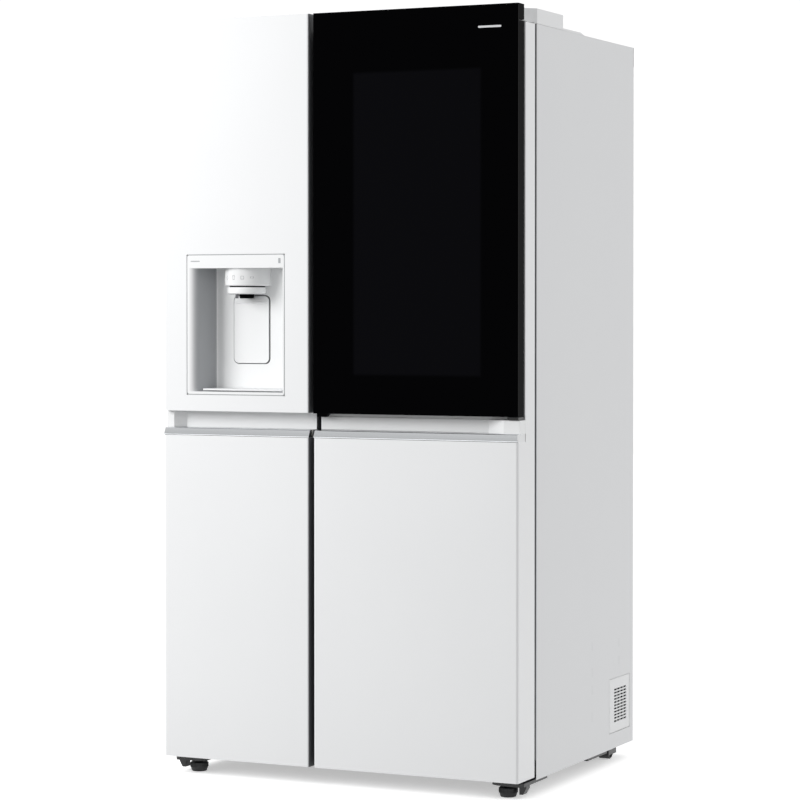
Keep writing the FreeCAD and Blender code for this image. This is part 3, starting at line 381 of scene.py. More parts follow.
def soften(piece, width_mm, segments=2, angle=30):
    """Rounds the piece's sharp edges and shades it smooth between them."""
    bevel = piece.modifiers.new("edge", "BEVEL")
    bevel.width = width_mm * MM
    bevel.segments = segments
    bevel.limit_method = "ANGLE"
    bevel.angle_limit = math.radians(angle)
    bevel.use_clamp_overlap = True
    settle(piece)
    bm = bmesh.new()
    bm.from_mesh(piece.data)
    folded = [
        f
        for f in bm.faces if len(f.verts) > 3 and f.calc_area() < 0.02 * (f.calc_perimeter() * 0.1 * MM)
    ]
    bmesh.ops.delete(bm, geom=folded, context="FACES_ONLY")
    bm.to_mesh(piece.data)
    bm.free()
    return shaded(piece, angle)


def cut(piece, tools):
    """Takes the tools' volumes out of a piece, and removes the tools."""
    for tool in tools:
        knife = piece.modifiers.new("cut", "BOOLEAN")
        knife.operation = "DIFFERENCE"
        knife.solver = "EXACT"
        knife.object = tool
    settle(piece)
    for tool in tools:
        bpy.data.objects.remove(tool)
    return piece


def block(name, low, high, finish="white_plastic"):
    """A box from its two corners, in metres."""
    bm = bmesh.new()
    bmesh.ops.create_cube(bm, size=1.0)
    for v in bm.verts:
        v.co = Vector([low[i] + (v.co[i] + 0.5) * (high[i] - low[i]) for i in range(3)])
    return as_object(name, bm, finish)


def prism(name, outline, axis, low, high, finish):
    """A polygon given in the two axes across `axis`, pushed from low to high along it."""
    bm = bmesh.new()
    others = [i for i in range(3) if i != axis]

    def place(point, along):
        co = [0.0, 0.0, 0.0]
        co[others[0]], co[others[1]], co[axis] = point[0], point[1], along
        return bm.verts.new(co)

    rings = [[place(p, along) for p in outline] for along in (low, high)]
    bm.faces.new(rings[0])
    bm.faces.new(list(reversed(rings[1])))
    count = len(outline)
    for i in range(count):
        j = (i + 1) % count
        bm.faces.new((rings[0][i], rings[1][i], rings[1][j], rings[0][j]))
    bmesh.ops.recalc_face_normals(bm, faces=bm.faces)
    return as_object(name, bm, finish)


def lathe(name, profile, centre, finish, steps=64, axis=2):
    """A closed turned form about an upright axis; profile is (radius, height) from bottom to top."""
    bm = bmesh.new()
    rings = []
    for radius, height in profile:
        ring = []
        for i in range(steps if radius > 1e-7 else 1):
            turn = 2 * math.pi * i / steps
            co = Vector((radius * math.cos(turn), radius * math.sin(turn), height))
            if axis == 0:
                co = Vector((co.z, co.x, co.y))
            elif axis == 1:
                co = Vector((co.y, co.z, co.x))
            ring.append(bm.verts.new(co + Vector(centre)))
        rings.append(ring)
    for a, b in zip(rings, rings[1:]):
        for i in range(steps):
            j = (i + 1) % steps
            if len(a) == 1 and len(b) > 1:
                bm.faces.new((a[0], b[j], b[i]))
            elif len(b) == 1 and len(a) > 1:
                bm.faces.new((a[i], a[j], b[0]))
            elif len(a) > 1:
                bm.faces.new((a[i], a[j], b[j], b[i]))
    bmesh.ops.recalc_face_normals(bm, faces=bm.faces)
    piece = as_object(name, bm, finish)
    for face in piece.data.polygons:
        face.use_smooth = True
    piece.data.set_sharp_from_angle(angle=math.radians(35))
    return piece


def joined(name, pieces):
    """Several pieces made into one, each keeping its finish."""
    bm = bmesh.new()
    finishes = []
    for piece in pieces:
        before = len(bm.faces)
        bm.from_mesh(piece.data)
        bm.faces.ensure_lookup_table()
        for face in bm.faces[before:]:
            finish = piece.data.materials[face.material_index]
            if finish not in finishes:
                finishes.append(finish)
            face.material_index = finishes.index(finish)
    mesh = bpy.data.meshes.new(name)
    bm.to_mesh(mesh)
    bm.free()
    for finish in finishes:
        mesh.materials.append(finish)
    for piece in pieces:
        bpy.data.objects.remove(piece)
    piece = bpy.data.objects.new(name, mesh)
    bpy.context.scene.collection.objects.link(piece)
    return piece


def fit(piece, body, slot, *nodes):
    """Keeps a piece inside the object's box, rides it and hides the nodes it stands for; the slot it is given
    is not used.
    """
    bm = bmesh.new()
    bm.from_mesh(piece.data)
    bmesh.ops.delete(bm, geom=[v for v in bm.verts if not v.link_faces], context="VERTS")
    for v in bm.verts:
        v.co = [min(max(c, a), b) for c, a, b in zip(v.co, LOW, HIGH)]
    bm.to_mesh(piece.data)
    bm.free()
    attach(piece, body)
    if nodes:
        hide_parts(*nodes)
    return piece


def dressed(node, width_mm, finish, segments=2, angle=30, tools=()):
    """A CAD node with its flat faces merged, the tools cut out and its edges rounded, in its own place."""
    source = frame["nodes"][node]
    bm = bmesh.new()
    bm.from_mesh(source.data)
    bmesh.ops.remove_doubles(bm, verts=bm.verts, dist=2e-6)
    bmesh.ops.dissolve_limit(
        bm, angle_limit=math.radians(0.6), verts=bm.verts, edges=bm.edges, delimit={"NORMAL"}
    )
    piece = as_object(node + "_finished", bm, finish)
    if tools:
        cut(piece, tools)
    soften(piece, width_mm, segments, angle)
    return fit(piece, BODY_OF[node], SLOT_OF[node], node)


# ---------------------------------------------------------------- repeats
def tree_with(name, inputs):
    """A Geometry Nodes tree with named inputs {name: socket type}; ends are added by finish_tree."""
    tree = bpy.data.node_groups.new(name, "GeometryNodeTree")
    tree.interface.new_socket("Geometry", in_out="INPUT", socket_type="NodeSocketGeometry")
    for title, kind in inputs.items():
        tree.interface.new_socket(title, in_out="INPUT", socket_type=kind)
    tree.interface.new_socket("Material", in_out="INPUT", socket_type="NodeSocketMaterial")
    tree.interface.new_socket("Geometry", in_out="OUTPUT", socket_type="NodeSocketGeometry")
    return tree, add(tree, "NodeGroupInput").outputs


def finish_tree(tree, given, geometry):
    """Every tree ends in plain geometry with its material."""
    plain = add(tree, "GeometryNodeRealizeInstances", {"Geometry": geometry})
    coated = add(
        tree, "GeometryNodeSetMaterial", {"Geometry": plain.outputs[0], "Material": given["Material"]},
    )
    add(tree, "NodeGroupOutput", {"Geometry": coated.outputs[0]})
    return tree


def slotted_plate_tree():
    """A flat plate with a field of equal slots cut through it, laid out across and up, then set in place."""
    tree, given = tree_with(
        "slotted_plate",
        {
            "Plate": "NodeSocketVector", "Slot": "NodeSocketVector", "Across": "NodeSocketInt",
            "Up": "NodeSocketInt", "Field X": "NodeSocketFloat", "Field Y": "NodeSocketFloat",
            "Shift": "NodeSocketVector", "Turn": "NodeSocketVector", "Centre": "NodeSocketVector",
        },
    )
    plate = add(tree, "GeometryNodeMeshCube", {"Size": given["Plate"]})
    slot = add(tree, "GeometryNodeMeshCube", {"Size": given["Slot"]})
    field = add(
        tree, "GeometryNodeMeshGrid",
        {
            "Size X": given["Field X"], "Size Y": given["Field Y"], "Vertices X": given["Across"],
            "Vertices Y": given["Up"],
        },
    )
    moved = add(tree, "GeometryNodeTransform", {"Geometry": field.outputs[0], "Translation": given["Shift"]})
    cutters = add(
        tree, "GeometryNodeInstanceOnPoints", {"Points": moved.outputs[0], "Instance": slot.outputs[0]},
    )
    solid = add(tree, "GeometryNodeRealizeInstances", {"Geometry": cutters.outputs[0]})
    pierced = add(
        tree, "GeometryNodeMeshBoolean", {"Mesh 1": plate.outputs[0], "Mesh 2": solid.outputs[0]},
        operation="DIFFERENCE",
    )
    placed = add(tree, "GeometryNodeTransform", {
        "Geometry": pierced.outputs[0], "Rotation": given["Turn"], "Translation": given["Centre"],
    })
    return finish_tree(tree, given, placed.outputs[0])


def row_tree():
    """Equal bars set one after another by a fixed step."""
    tree, given = tree_with(
        "row_of_bars",
        {
            "Bar": "NodeSocketVector", "Count": "NodeSocketInt", "Start": "NodeSocketVector",
            "Step": "NodeSocketVector",
        },
    )
    line = add(tree, "GeometryNodeMeshLine", {
        "Count": given["Count"], "Start Location": given["Start"], "Offset": given["Step"],
    })
    bar = add(tree, "GeometryNodeMeshCube", {"Size": given["Bar"]})
    bars = add(tree, "GeometryNodeInstanceOnPoints", {"Points": line.outputs[0], "Instance": bar.outputs[0]})
    return finish_tree(tree, given, bars.outputs[0])


def ring_tree():
    """Equal bars set round a circle, each turned to face outwards, with the ring's axis upright."""
    tree, given = tree_with(
        "ring_of_bars",
        {
            "Bar": "NodeSocketVector", "Count": "NodeSocketInt", "Radius": "NodeSocketFloat",
            "Centre": "NodeSocketVector",
        },
    )
    circle = add(tree, "GeometryNodeMeshCircle", {"Vertices": given["Count"], "Radius": given["Radius"]})
    step = add(tree, "ShaderNodeMath", {0: 2 * math.pi, 1: given["Count"]}, operation="DIVIDE")
    index = add(tree, "GeometryNodeInputIndex")
    turn = add(tree, "ShaderNodeMath", {0: index.outputs[0], 1: step.outputs[0]}, operation="MULTIPLY")
    facing = add(tree, "ShaderNodeCombineXYZ", {"Z": turn.outputs[0]})
    bar = add(tree, "GeometryNodeMeshCube", {"Size": given["Bar"]})
    bars = add(tree, "GeometryNodeInstanceOnPoints", {
        "Points": circle.outputs[0], "Instance": bar.outputs[0], "Rotation": facing.outputs[0],
    })
    placed = add(tree, "GeometryNodeTransform", {"Geometry": bars.outputs[0], "Translation": given["Centre"]})
    return finish_tree(tree, given, placed.outputs[0])


def screw_tree():
    """A flanged screw head with a hexagonal drive on every point, turned by the given angles."""
    tree, given = tree_with("screw_heads", {
        "Radius": "NodeSocketFloat", "Height": "NodeSocketFloat", "Turn": "NodeSocketVector",
    })
    flange_height = add(tree, "ShaderNodeMath", {0: given["Height"], 1: 0.35}, operation="MULTIPLY")
    crown_radius = add(tree, "ShaderNodeMath", {0: given["Radius"], 1: 0.66}, operation="MULTIPLY")
    half = add(tree, "ShaderNodeMath", {0: given["Height"], 1: 0.5}, operation="MULTIPLY")
    low = add(tree, "ShaderNodeMath", {0: flange_height.outputs[0], 1: 0.5}, operation="MULTIPLY")
    flange = add(tree, "GeometryNodeMeshCylinder", {
        "Vertices": 20, "Radius": given["Radius"], "Depth": flange_height.outputs[0],
    })
    crown = add(tree, "GeometryNodeMeshCylinder", {
        "Vertices": 6, "Radius": crown_radius.outputs[0], "Depth": given["Height"],
    })
    seat = add(tree, "ShaderNodeCombineXYZ", {"Z": low.outputs[0]})
    rise = add(tree, "ShaderNodeCombineXYZ", {"Z": half.outputs[0]})
    parts = add(tree, "GeometryNodeJoinGeometry")
    for made, lift in ((flange, seat), (crown, rise)):
        lifted = add(
            tree, "GeometryNodeTransform",
            {"Geometry": made.outputs["Mesh"], "Translation": lift.outputs[0]},
        )
        tree.links.new(lifted.outputs[0], parts.inputs[0])
    heads = add(tree, "GeometryNodeInstanceOnPoints", {
        "Points": given["Geometry"], "Instance": parts.outputs[0], "Rotation": given["Turn"],
    })
    return finish_tree(tree, given, heads.outputs[0])


SLOTTED_PLATE, ROW, RING, SCREWS = slotted_plate_tree(), row_tree(), ring_tree(), screw_tree()


def repeated(name, tree, finish, points=(), **values):
    """Runs a tree on its own object and keeps the plain mesh. Values are the tree's inputs by name."""
    mesh = bpy.data.meshes.new(name)
    mesh.from_pydata([tuple(p) for p in points], [], [])
    piece = bpy.data.objects.new(name, mesh)
    bpy.context.scene.collection.objects.link(piece)
    growth = piece.modifiers.new("growth", "NODES")
    growth.node_group = tree
    sockets = {i.name: i.identifier for i in tree.interface.items_tree if i.in_out == "INPUT"}
    for title, value in values.items():
        growth[sockets[title.replace("_", " ")]] = value
    growth[sockets["Material"]] = FINISHES[finish]
    return settle(piece)


# ---------------------------------------------------------------- camera, floor and light
def set_camera():
    lens = bpy.data.cameras.new("front_right_view")
    lens.lens, lens.sensor_width = 121.26, 36.0
    lens.shift_y = -0.0628
    lens.clip_end = 50.0
    camera = bpy.data.objects.new("front_right_view", lens)
    camera.location = (2.7970, -5.9162, 1.1073)
    camera.rotation_euler = (math.radians(90 - 0.8706), 0.0, math.radians(25.379))
    bpy.context.scene.collection.objects.link(camera)
    bpy.context.scene.camera = camera


def panel_light(name, at, towards, size, watts, colour="#FFFFFF"):
    """A soft rectangular light aimed at a point."""
    lamp = bpy.data.lights.new(name, "AREA")
    lamp.shape = "RECTANGLE"
    lamp.size, lamp.size_y = size
    lamp.energy = watts
    lamp.color = linear(colour)[:3]
    holder = bpy.data.objects.new(name, lamp)
    holder.location = at
    holder.visible_glossy = False
    aim = Vector(towards) - Vector(at)
    holder.rotation_euler = aim.to_track_quat("-Z", "Y").to_euler()
    bpy.context.scene.collection.objects.link(holder)
    return holder


def set_stage():
    """A pale floor, and a room of light that is bright behind the object and softer in front and below."""
    bm = bmesh.new()
    bmesh.ops.create_circle(bm, cap_ends=True, radius=14.0, segments=96)
    bmesh.ops.translate(bm, verts=bm.verts, vec=(0, 0, LOW.z - 0.0005))
    material, tree, place = begin("pale_studio_floor")
    drift = add(tree, "ShaderNodeTexNoise", {"Vector": place, "Scale": 1.5, "Detail": 2.0})
    tint = add(tree, "ShaderNodeMix", {"Factor": drift.outputs["Fac"]}, data_type="RGBA")
    tint.inputs[6].default_value = linear("#FDFDFD")
    tint.inputs[7].default_value = linear("#FFFFFF")
    shader = add(tree, "ShaderNodeBsdfPrincipled", {
        "Base Color": tint.outputs[2], "Roughness": 0.9, "Specular IOR Level": 0.0,
        "Emission Color": linear("#FFFFFF"), "Emission Strength": 0.45,
    })
    FINISHES["floor"] = end(material, tree, shader)
    floor = as_object("studio_floor", bm, "floor")
    floor.visible_diffuse = False

    world = bpy.data.worlds.new("white_room")
    bpy.context.scene.world = world
    world.use_nodes = True
    tree = world.node_tree
    tree.nodes.clear()
    way = add(tree, "ShaderNodeSeparateXYZ", {0: add(tree, "ShaderNodeTexCoord").outputs["Generated"]})
    behind = add(tree, "ShaderNodeMapRange", {
        "Value": way.outputs["Y"], "From Min": -0.6, "From Max": 0.6, "To Min": FRONT_LIGHT, "To Max": 1.06,
    })
    above = add(tree, "ShaderNodeMapRange", {
        "Value": way.outputs["Z"], "From Min": -0.5, "From Max": -0.08, "To Min": FLOOR_LIGHT, "To Max": 1.0,
    })
    both = add(tree, "ShaderNodeMath", {0: behind.outputs[0], 1: above.outputs[0]}, operation="MULTIPLY")
    glow = add(tree, "ShaderNodeBackground", {"Color": linear("#FFFFFF"), "Strength": both.outputs[0]})
    add(tree, "ShaderNodeOutputWorld", {"Surface": glow.outputs[0]})
    panel_light("key_front_left", (-2.3, -2.7, 2.1), (-0.3, -0.3, 1.4), (1.6, 1.6), KEY_WATTS)
    panel_light("side_soft", (3.2, 0.5, 1.3), (0.4, 0.0, 1.1), (1.6, 1.6), SIDE_WATTS)


FRONT_LIGHT, FLOOR_LIGHT, KEY_WATTS, SIDE_WATTS = 0.58, 0.3, 88, 7
set_camera()
set_stage()
bpy.context.scene.view_settings.view_transform = "Standard"

# ---------------------------------------------------------------- doors
def tinted(piece, finish, facing, at=None):
    """Gives a second finish to the faces that look one way, and where `at` is given, that lie there."""
    piece.data.materials.append(FINISHES[finish])
    way = Vector(facing)
    for face in piece.data.polygons:
        if face.normal.dot(way) > 0.7 and (at is None or abs((face.center - Vector(at)).dot(way)) < 2.5 * MM):
            face.material_index = len(piece.data.materials) - 1
    return piece


def door_skins():
    """Wrapped steel skins; the faces that look into the gap between the doors are painted grey as shade, and
    so are the handle recesses' faces there.
    """
    low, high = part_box("freezer_door_skin")
    # The skin faces that look into the gap get grey: painted shade.
    tinted(dressed("freezer_door_skin", 1.2, "white_steel"), "gap_shade_and_grey", (1, 0, 0), high)
    low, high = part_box("fridge_door_skin")
    tinted(dressed("fridge_door_skin", 1.2, "white_steel"), "gap_shade_and_grey", (-1, 0, 0), low)
    # The recess faces that look into the gap get the same grey: painted shade.
    for node, way in (("freezer_handle_recess", (1, 0, 0)), ("fridge_handle_recess", (-1, 0, 0))):
        low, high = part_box(node)
        tinted(dressed(node, 0.8, "gloss_white"), "gap_shade_and_grey", way, high if way[0] > 0 else low)


def trim_strip(node):
    """Bright bevelled strip with a grey backing under it that is painted shadow; a fine dark line of painted
    shadow shows along its lower and its rear edge.
    """
    low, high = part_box(node)
    y, z = low.y, low.z
    metal = [
        (y + 0.2 * MM, z + 1.4 * MM), (y, z + 2.0 * MM), (y, z + 3.4 * MM), (y + 0.9 * MM, z + 4.9 * MM),
        (y + 6.2 * MM, z + 16.2 * MM), (y + 7.4 * MM, z + 17.4 * MM), (y + 9.2 * MM, high.z),
        (high.y - 4 * MM, high.z), (high.y - 4 * MM, z + 1.4 * MM),
    ]
    end = 0.7 * MM if node.startswith("fridge") else 0.0
    strip = prism("strip", metal, 0, low.x, high.x - end, "polished_steel")
    for face in strip.data.polygons:
        face.use_smooth = True
    strip.data.set_sharp_from_angle(angle=math.radians(50))
    # Grey strip under the trim: painted shadow of the gap between trim and door.
    painted_shadow_backing = block("painted_shadow_backing", (low.x + MM, y + 1.2 * MM, z), (high.x - MM, high.y, z + 1.6 * MM), "gap_shade_and_grey")
    cap_low, cap_high = (high.x - 0.7 * MM, y + 0.6 * MM, z), (high.x, high.y - 2 * MM, high.z - 0.4 * MM)
    ends = [block("cap", cap_low, cap_high, "white_plastic")] if end else []
    piece = joined(node + "_bright", [strip, painted_shadow_backing] + ends)
    return fit(piece, BODY_OF[node], SLOT_OF[node], node)


def front_glass():
    """Front glass of the outer door with its printed border, and the casing behind it."""
    pane = dressed("outer_door_glass", 0.7, "printed_glass", segments=3)
    for v in pane.data.vertices:
        v.co.y = max(v.co.y, LOW.y + 0.12 * MM)
    dressed("outer_door_frame", 0.8, "black_plastic")
    low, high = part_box("outer_door_glass")
    bar = prism("plain_print", capsule(high.x - 98 * MM, high.z - 50 * MM, 57 * MM, 4.5 * MM), 1,
                low.y, low.y + 0.2 * MM, "print_light")
    fit(bar, "outer_door", "white_plastic")


def capsule(x, z, length, thick, turns=6):
    """Outline of a bar with round ends, in x and z, that starts at x."""
    r = thick / 2
    right = [
        (x + length - r + r * math.sin(a), z - r * math.cos(a))
        for a in [math.pi * i / turns for i in range(turns + 1)]
    ]
    left = [
        (x + r - r * math.sin(a), z + r * math.cos(a))
        for a in [math.pi * i / turns for i in range(turns + 1)]
    ]
    return right + left


def door_seals():
    """Extruded seals: a magnet bead that meets the cabinet, and a bellows of two folds behind it."""
    for node in ("freezer_door_gasket", "fridge_door_gasket"):
        low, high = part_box(node)
        deep = high.y - low.y
        inset = [0.0, 0.4, 2.2, 0.9, 2.4, 0.3, 0.0]
        places = [0.0, 0.12, 0.3, 0.46, 0.6, 0.74, 1.0]
        wide = 12 * MM
        bm = bmesh.new()
        rings = []
        for side in (1, -1):
            for step, place in (zip(inset, places) if side == 1 else reversed(list(zip(inset, places)))):
                y = low.y + deep * place
                d = step * MM if side == 1 else wide - step * MM
                corners = [
                    (low.x + d, low.z + d), (high.x - d, low.z + d), (high.x - d, high.z - d),
                    (low.x + d, high.z - d),
                ]
                rings.append([bm.verts.new((x, y, z)) for x, z in corners])
        for a, b in zip(rings, rings[1:] + rings[:1]):
            for i in range(4):
                j = (i + 1) % 4
                bm.faces.new((a[i], a[j], b[j], b[i]))
        bmesh.ops.recalc_face_normals(bm, faces=bm.faces)
        piece = as_object(node + "_bellows", bm, "seal_rubber")
        fit(soften(piece, 0.3, 2, 15), BODY_OF[node], SLOT_OF[node], node)


# ---------------------------------------------------------------- dispenser
def rounded(x, z, radius, turns=5):
    """Outline of a rectangle with round corners, in two axes."""
    points = []
    for cx, cz, start in ((x[1] - radius, z[0] + radius, -90), (x[1] - radius, z[1] - radius, 0),
                          (x[0] + radius, z[1] - radius, 90), (x[0] + radius, z[0] + radius, 180)):
        for i in range(turns + 1):
            a = math.radians(start + 90 * i / turns)
            points.append((cx + radius * math.cos(a), cz + radius * math.sin(a)))
    return points


def dispenser_surround():
    """Glossy moulding of the dispenser: thin rim, left wall that rolls in from it, pocket for the pad."""
    low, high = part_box("dispenser_housing")
    x0, x1, y0 = low.x + 2 * MM, high.x - 2 * MM, low.y
    z0, z1 = low.z + 2 * MM, high.z - 2 * MM
    wall_y, bar_z = y0 + 76 * MM, z1 - 30.5 * MM
    rim = prism("rim", rounded((x0, x1), (z0, z1), 5 * MM), 1, y0 + 0.12 * MM, high.y, "gloss_white")
    rim_x, rim_z = x0 + 3 * MM, z0 + 6 * MM
    roll = 22 * MM
    turns = 10
    plan = [(rim_x, y0 - 5 * MM)]
    plan += [
        (rim_x + roll * math.sin(a), y0 + roll * (1 - math.cos(a)))
        for a in [math.pi / 2 * i / turns for i in range(turns + 1)]
    ]
    plan += [
        (x0 + 33 * MM, wall_y - 8 * MM), (x0 + 34.5 * MM, wall_y - 4 * MM),
        (x0 + 37.5 * MM, wall_y - 1.2 * MM), (x0 + 42 * MM, wall_y),
    ]
    plan += [
        (x1 - 12 * MM, wall_y), (x1 - 7 * MM, wall_y - 2 * MM), (x1 - 5 * MM, wall_y - 8 * MM),
        (x1 - 5 * MM, y0 + 3 * MM),
    ]
    plan += [(x1 - 4.2 * MM, y0 + 1 * MM), (x1 - 3 * MM, y0), (x1 - 3 * MM, y0 - 5 * MM)]
    space = prism("space", plan, 2, rim_z, bar_z, "gloss_white")
    pad_low, pad_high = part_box("dispenser_pad")
    pocket_z = (pad_low.z - 2.0 * MM, pad_high.z + 13.5 * MM)
    pocket = prism("pocket", rounded((pad_low.x - 1.6 * MM, pad_high.x + 4.2 * MM), pocket_z, 13 * MM), 1,
                   wall_y - 5 * MM, high.y - 3 * MM, "gloss_white")
    over = block("over", (x0 + 42 * MM, y0 + 7 * MM, bar_z - 2 * MM), (x1 - 5 * MM, wall_y, z1 - 3 * MM))
    cut(rim, [space, over, pocket])
    soften(rim, 0.7, 3)
    # The faces of the leaning left wall get the grey of painted shade.
    rim.data.materials.append(FINISHES["niche_painted_shade"])
    for face in rim.data.polygons:
        here = face.center
        beside = x0 + 2.5 * MM < here.x < x0 + 38 * MM and y0 < here.y < wall_y - MM
        if face.normal.x > 0.05 and beside and rim_z < here.z < bar_z:
            face.material_index = 1
    # Grey band in the gap round the moulding: painted shadow.
    seam = prism(
        "seam", rounded((low.x, high.x), (low.z, high.z), 6.5 * MM), 1, y0 + 0.9 * MM, y0 + 5 * MM,
        "seam_painted_shadow",
    )
    hole = block("hole", (x0 + 1 * MM, y0 - MM, z0 + 1 * MM), (x1 - 1 * MM, y0 + 10 * MM, z1 - 1 * MM))
    cut(seam, [hole])
    # Grey sheet at the back of the pad's pocket: painted shade in the groove round the pad.
    painted_shade_lining = block("painted_shade_lining", (pad_low.x - 4 * MM, high.y - 3.2 * MM, pad_low.z - 4 * MM),
                   (pad_high.x + 4.5 * MM, high.y - 2.6 * MM, pad_high.z + 14 * MM), "gap_shade_and_grey")
    fit(
        joined("dispenser_surround", [rim, seam, painted_shade_lining]), "freezer_door", SLOT_OF["dispenser_housing"],
        "dispenser_housing",
    )


def dispenser_controls():
    """Round control head with its display marks, the narrower outlet ring, and the outlets under it."""
    low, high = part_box("dispenser_head")
    x, y = (low.x + high.x) / 2, low.y + 55 * MM
    house_low, house_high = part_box("dispenser_housing")
    bottom = house_high.z - 2 * MM - 72.5 * MM
    wall_y = house_low.y + 76 * MM
    radius = 55 * MM
    head = lathe(
        "head",
        [
            (0, 0), (radius - 5 * MM, 0), (radius - 2.2 * MM, 0.5 * MM), (radius - 0.6 * MM, 1.9 * MM),
            (radius, 4.2 * MM), (radius, high.z - bottom), (0, high.z - bottom),
        ],
        (x, y, bottom), "gloss_white", 96,
    )
    ring_y = y - 6 * MM
    ring_z = bottom - 19 * MM
    ring = lathe(
        "ring",
        [
            (0, 0), (42 * MM, 0), (44.6 * MM, 0.7 * MM), (46 * MM, 2.6 * MM), (46 * MM, 14.5 * MM),
            (45 * MM, 16 * MM), (0, 16 * MM),
        ],
        (x, ring_y, ring_z), "gloss_white", 96,
    )
    # Black ring in the gap between head and outlet ring: painted shade.
    neck_gap_shade = lathe(
        "neck_gap_shade", [(0, 0), (42 * MM, 0), (42 * MM, 5 * MM), (0, 5 * MM)], (x, y - 4 * MM, ring_z + 15 * MM),
        "black_plastic", 64,
    )
    chute = lathe(
        "chute",
        [
            (12 * MM, 9.5 * MM), (13 * MM, 1 * MM), (14 * MM, 0), (16 * MM, 0), (17 * MM, 1.2 * MM),
            (17.5 * MM, 10 * MM), (12 * MM, 10 * MM),
        ],
        (x, ring_y, low.z), "black_plastic", 48,
    )
    # Black disc inside the chute's opening: painted shade.
    throat_shade = lathe(
        "throat_shade", [(0, 0), (12.5 * MM, 0), (12.5 * MM, 0.6 * MM), (0, 0.6 * MM)],
        (x, ring_y, low.z + 9 * MM), "black_plastic", 32,
    )
    spout = lathe(
        "spout",
        [
            (1.6 * MM, 8 * MM), (2 * MM, 0.6 * MM), (2.6 * MM, 0), (3.4 * MM, 0.8 * MM), (3.8 * MM, 9 * MM),
            (1.6 * MM, 9 * MM),
        ],
        (x - 8 * MM, ring_y - 34 * MM, low.z), "gap_shade_and_grey", 24,
    )
    under = lathe(
        "under", [(0, 0), (40 * MM, 0), (40 * MM, 0.5 * MM), (0, 0.5 * MM)], (x, ring_y, ring_z - 0.5 * MM),
        "grey_plastic", 64,
    )
    marks = control_marks(x, y, bottom + 20 * MM, radius)
    for part in (head, ring, neck_gap_shade):
        guard = block(
            "guard", (low.x - 30 * MM, wall_y - 0.3 * MM, low.z - 30 * MM),
            (high.x + 30 * MM, wall_y + 90 * MM, high.z + 30 * MM),
        )
        cut(part, [guard])
    piece = joined("dispenser_controls", [head, ring, neck_gap_shade, chute, throat_shade, spout, under] + marks)
    for face in piece.data.polygons:
        face.use_smooth = True
    piece.data.set_sharp_from_angle(angle=math.radians(35))
    fit(piece, "freezer_door", SLOT_OF["dispenser_head"], "dispenser_head")


def control_marks(x, y, z, radius):
    """Small printed marks on the head: a drop, a glass and a cube, each a closed thin outline."""
    shapes = {
        -34: [(0, 5), (3, 1), (3.6, -2), (2, -4.5), (0, -5.2), (-2, -4.5), (-3.6, -2), (-3, 1)],
        -10: [(-3.6, 4.5), (3.6, 4.5), (2.6, -5), (-2.6, -5)],
        14: [(-4, -4.5), (4, -4.5), (4, 3.5), (-4, 3.5)],
        38: [(-4, -2), (-4, 2), (4, 2), (4, -2)],
    }
    made = []
    for turn, outline in shapes.items():
        bm = bmesh.new()
        rings = []
        for scale, lift in ((1.0, 0.12), (0.78, 0.12)):
            ring = []
            for across, up in outline:
                a = math.radians(turn - 90) + across * scale * MM / radius
                r = radius + lift * MM
                ring.append(bm.verts.new((x + r * math.cos(a), y + r * math.sin(a), z + up * scale * MM)))
            rings.append(ring)
        count = len(outline)
        for i in range(count):
            j = (i + 1) % count
            bm.faces.new((rings[0][i], rings[0][j], rings[1][j], rings[1][i]))
        bmesh.ops.solidify(bm, geom=bm.faces[:], thickness=0.1 * MM)
        bmesh.ops.recalc_face_normals(bm, faces=bm.faces)
        made.append(as_object("mark", bm, "print_grey"))
    return made


def bar_marks():
    """Two plain printed marks on the bar over the niche."""
    low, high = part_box("dispenser_housing")
    x0, x1, y, z = low.x + 2 * MM, high.x - 2 * MM, low.y, high.z - 16 * MM
    left = prism(
        "left_mark", capsule(x0 + 9 * MM, z, 25 * MM, 2.4 * MM), 1, y - 0.02 * MM, y + 0.1 * MM,
        "print_grey",
    )
    right = prism(
        "right_mark", rounded((x1 - 15 * MM, x1 - 9 * MM), (z - 6 * MM, z + 6 * MM), 1 * MM), 1,
        y - 0.02 * MM, y + 0.1 * MM, "print_grey",
    )
    for mark in (left, right):
        for v in mark.data.vertices:
            v.co.y = max(v.co.y, LOW.y)
    fit(joined("bar_marks", [left, right]), "freezer_door", "white_plastic")


def push_pad():
    """Push plate with soft corners, a slot near its top and its cross pin."""
    low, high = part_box("dispenser_pad")
    top = high.z + 11.5 * MM
    plate = prism(
        "plate", rounded((low.x, high.x), (low.z, top), 12 * MM, 8), 1, low.y + 1.2 * MM, low.y + 5 * MM,
        "gloss_white",
    )
    slot = prism(
        "slot", capsule((low.x + high.x) / 2 - 10 * MM, top - 17 * MM, 24 * MM, 2.4 * MM), 1, low.y,
        low.y + 2.0 * MM, "gap_shade_and_grey",
    )
    cut(plate, [slot])
    soften(plate, 0.6, 3)
    # Grey floor in the slot: painted shade.
    painted_shade_lining = prism(
        "slot_floor_shade", capsule((low.x + high.x) / 2 - 10 * MM, top - 17 * MM, 24 * MM, 2.3 * MM), 1,
        low.y + 1.9 * MM, low.y + 2.1 * MM, "gap_shade_and_grey",
    )
    pin = lathe(
        "pin",
        [(0, 0), (3.6 * MM, 0), (4 * MM, 0.5 * MM), (4 * MM, 84.5 * MM), (3.6 * MM, 85 * MM), (0, 85 * MM)],
        (low.x + 4 * MM, high.y - 4 * MM, high.z - 4 * MM), "white_plastic", 24, axis=0,
    )
    fit(joined("push_pad", [plate, painted_shade_lining, pin]), "dispenser_pad", SLOT_OF["dispenser_pad"], "dispenser_pad")


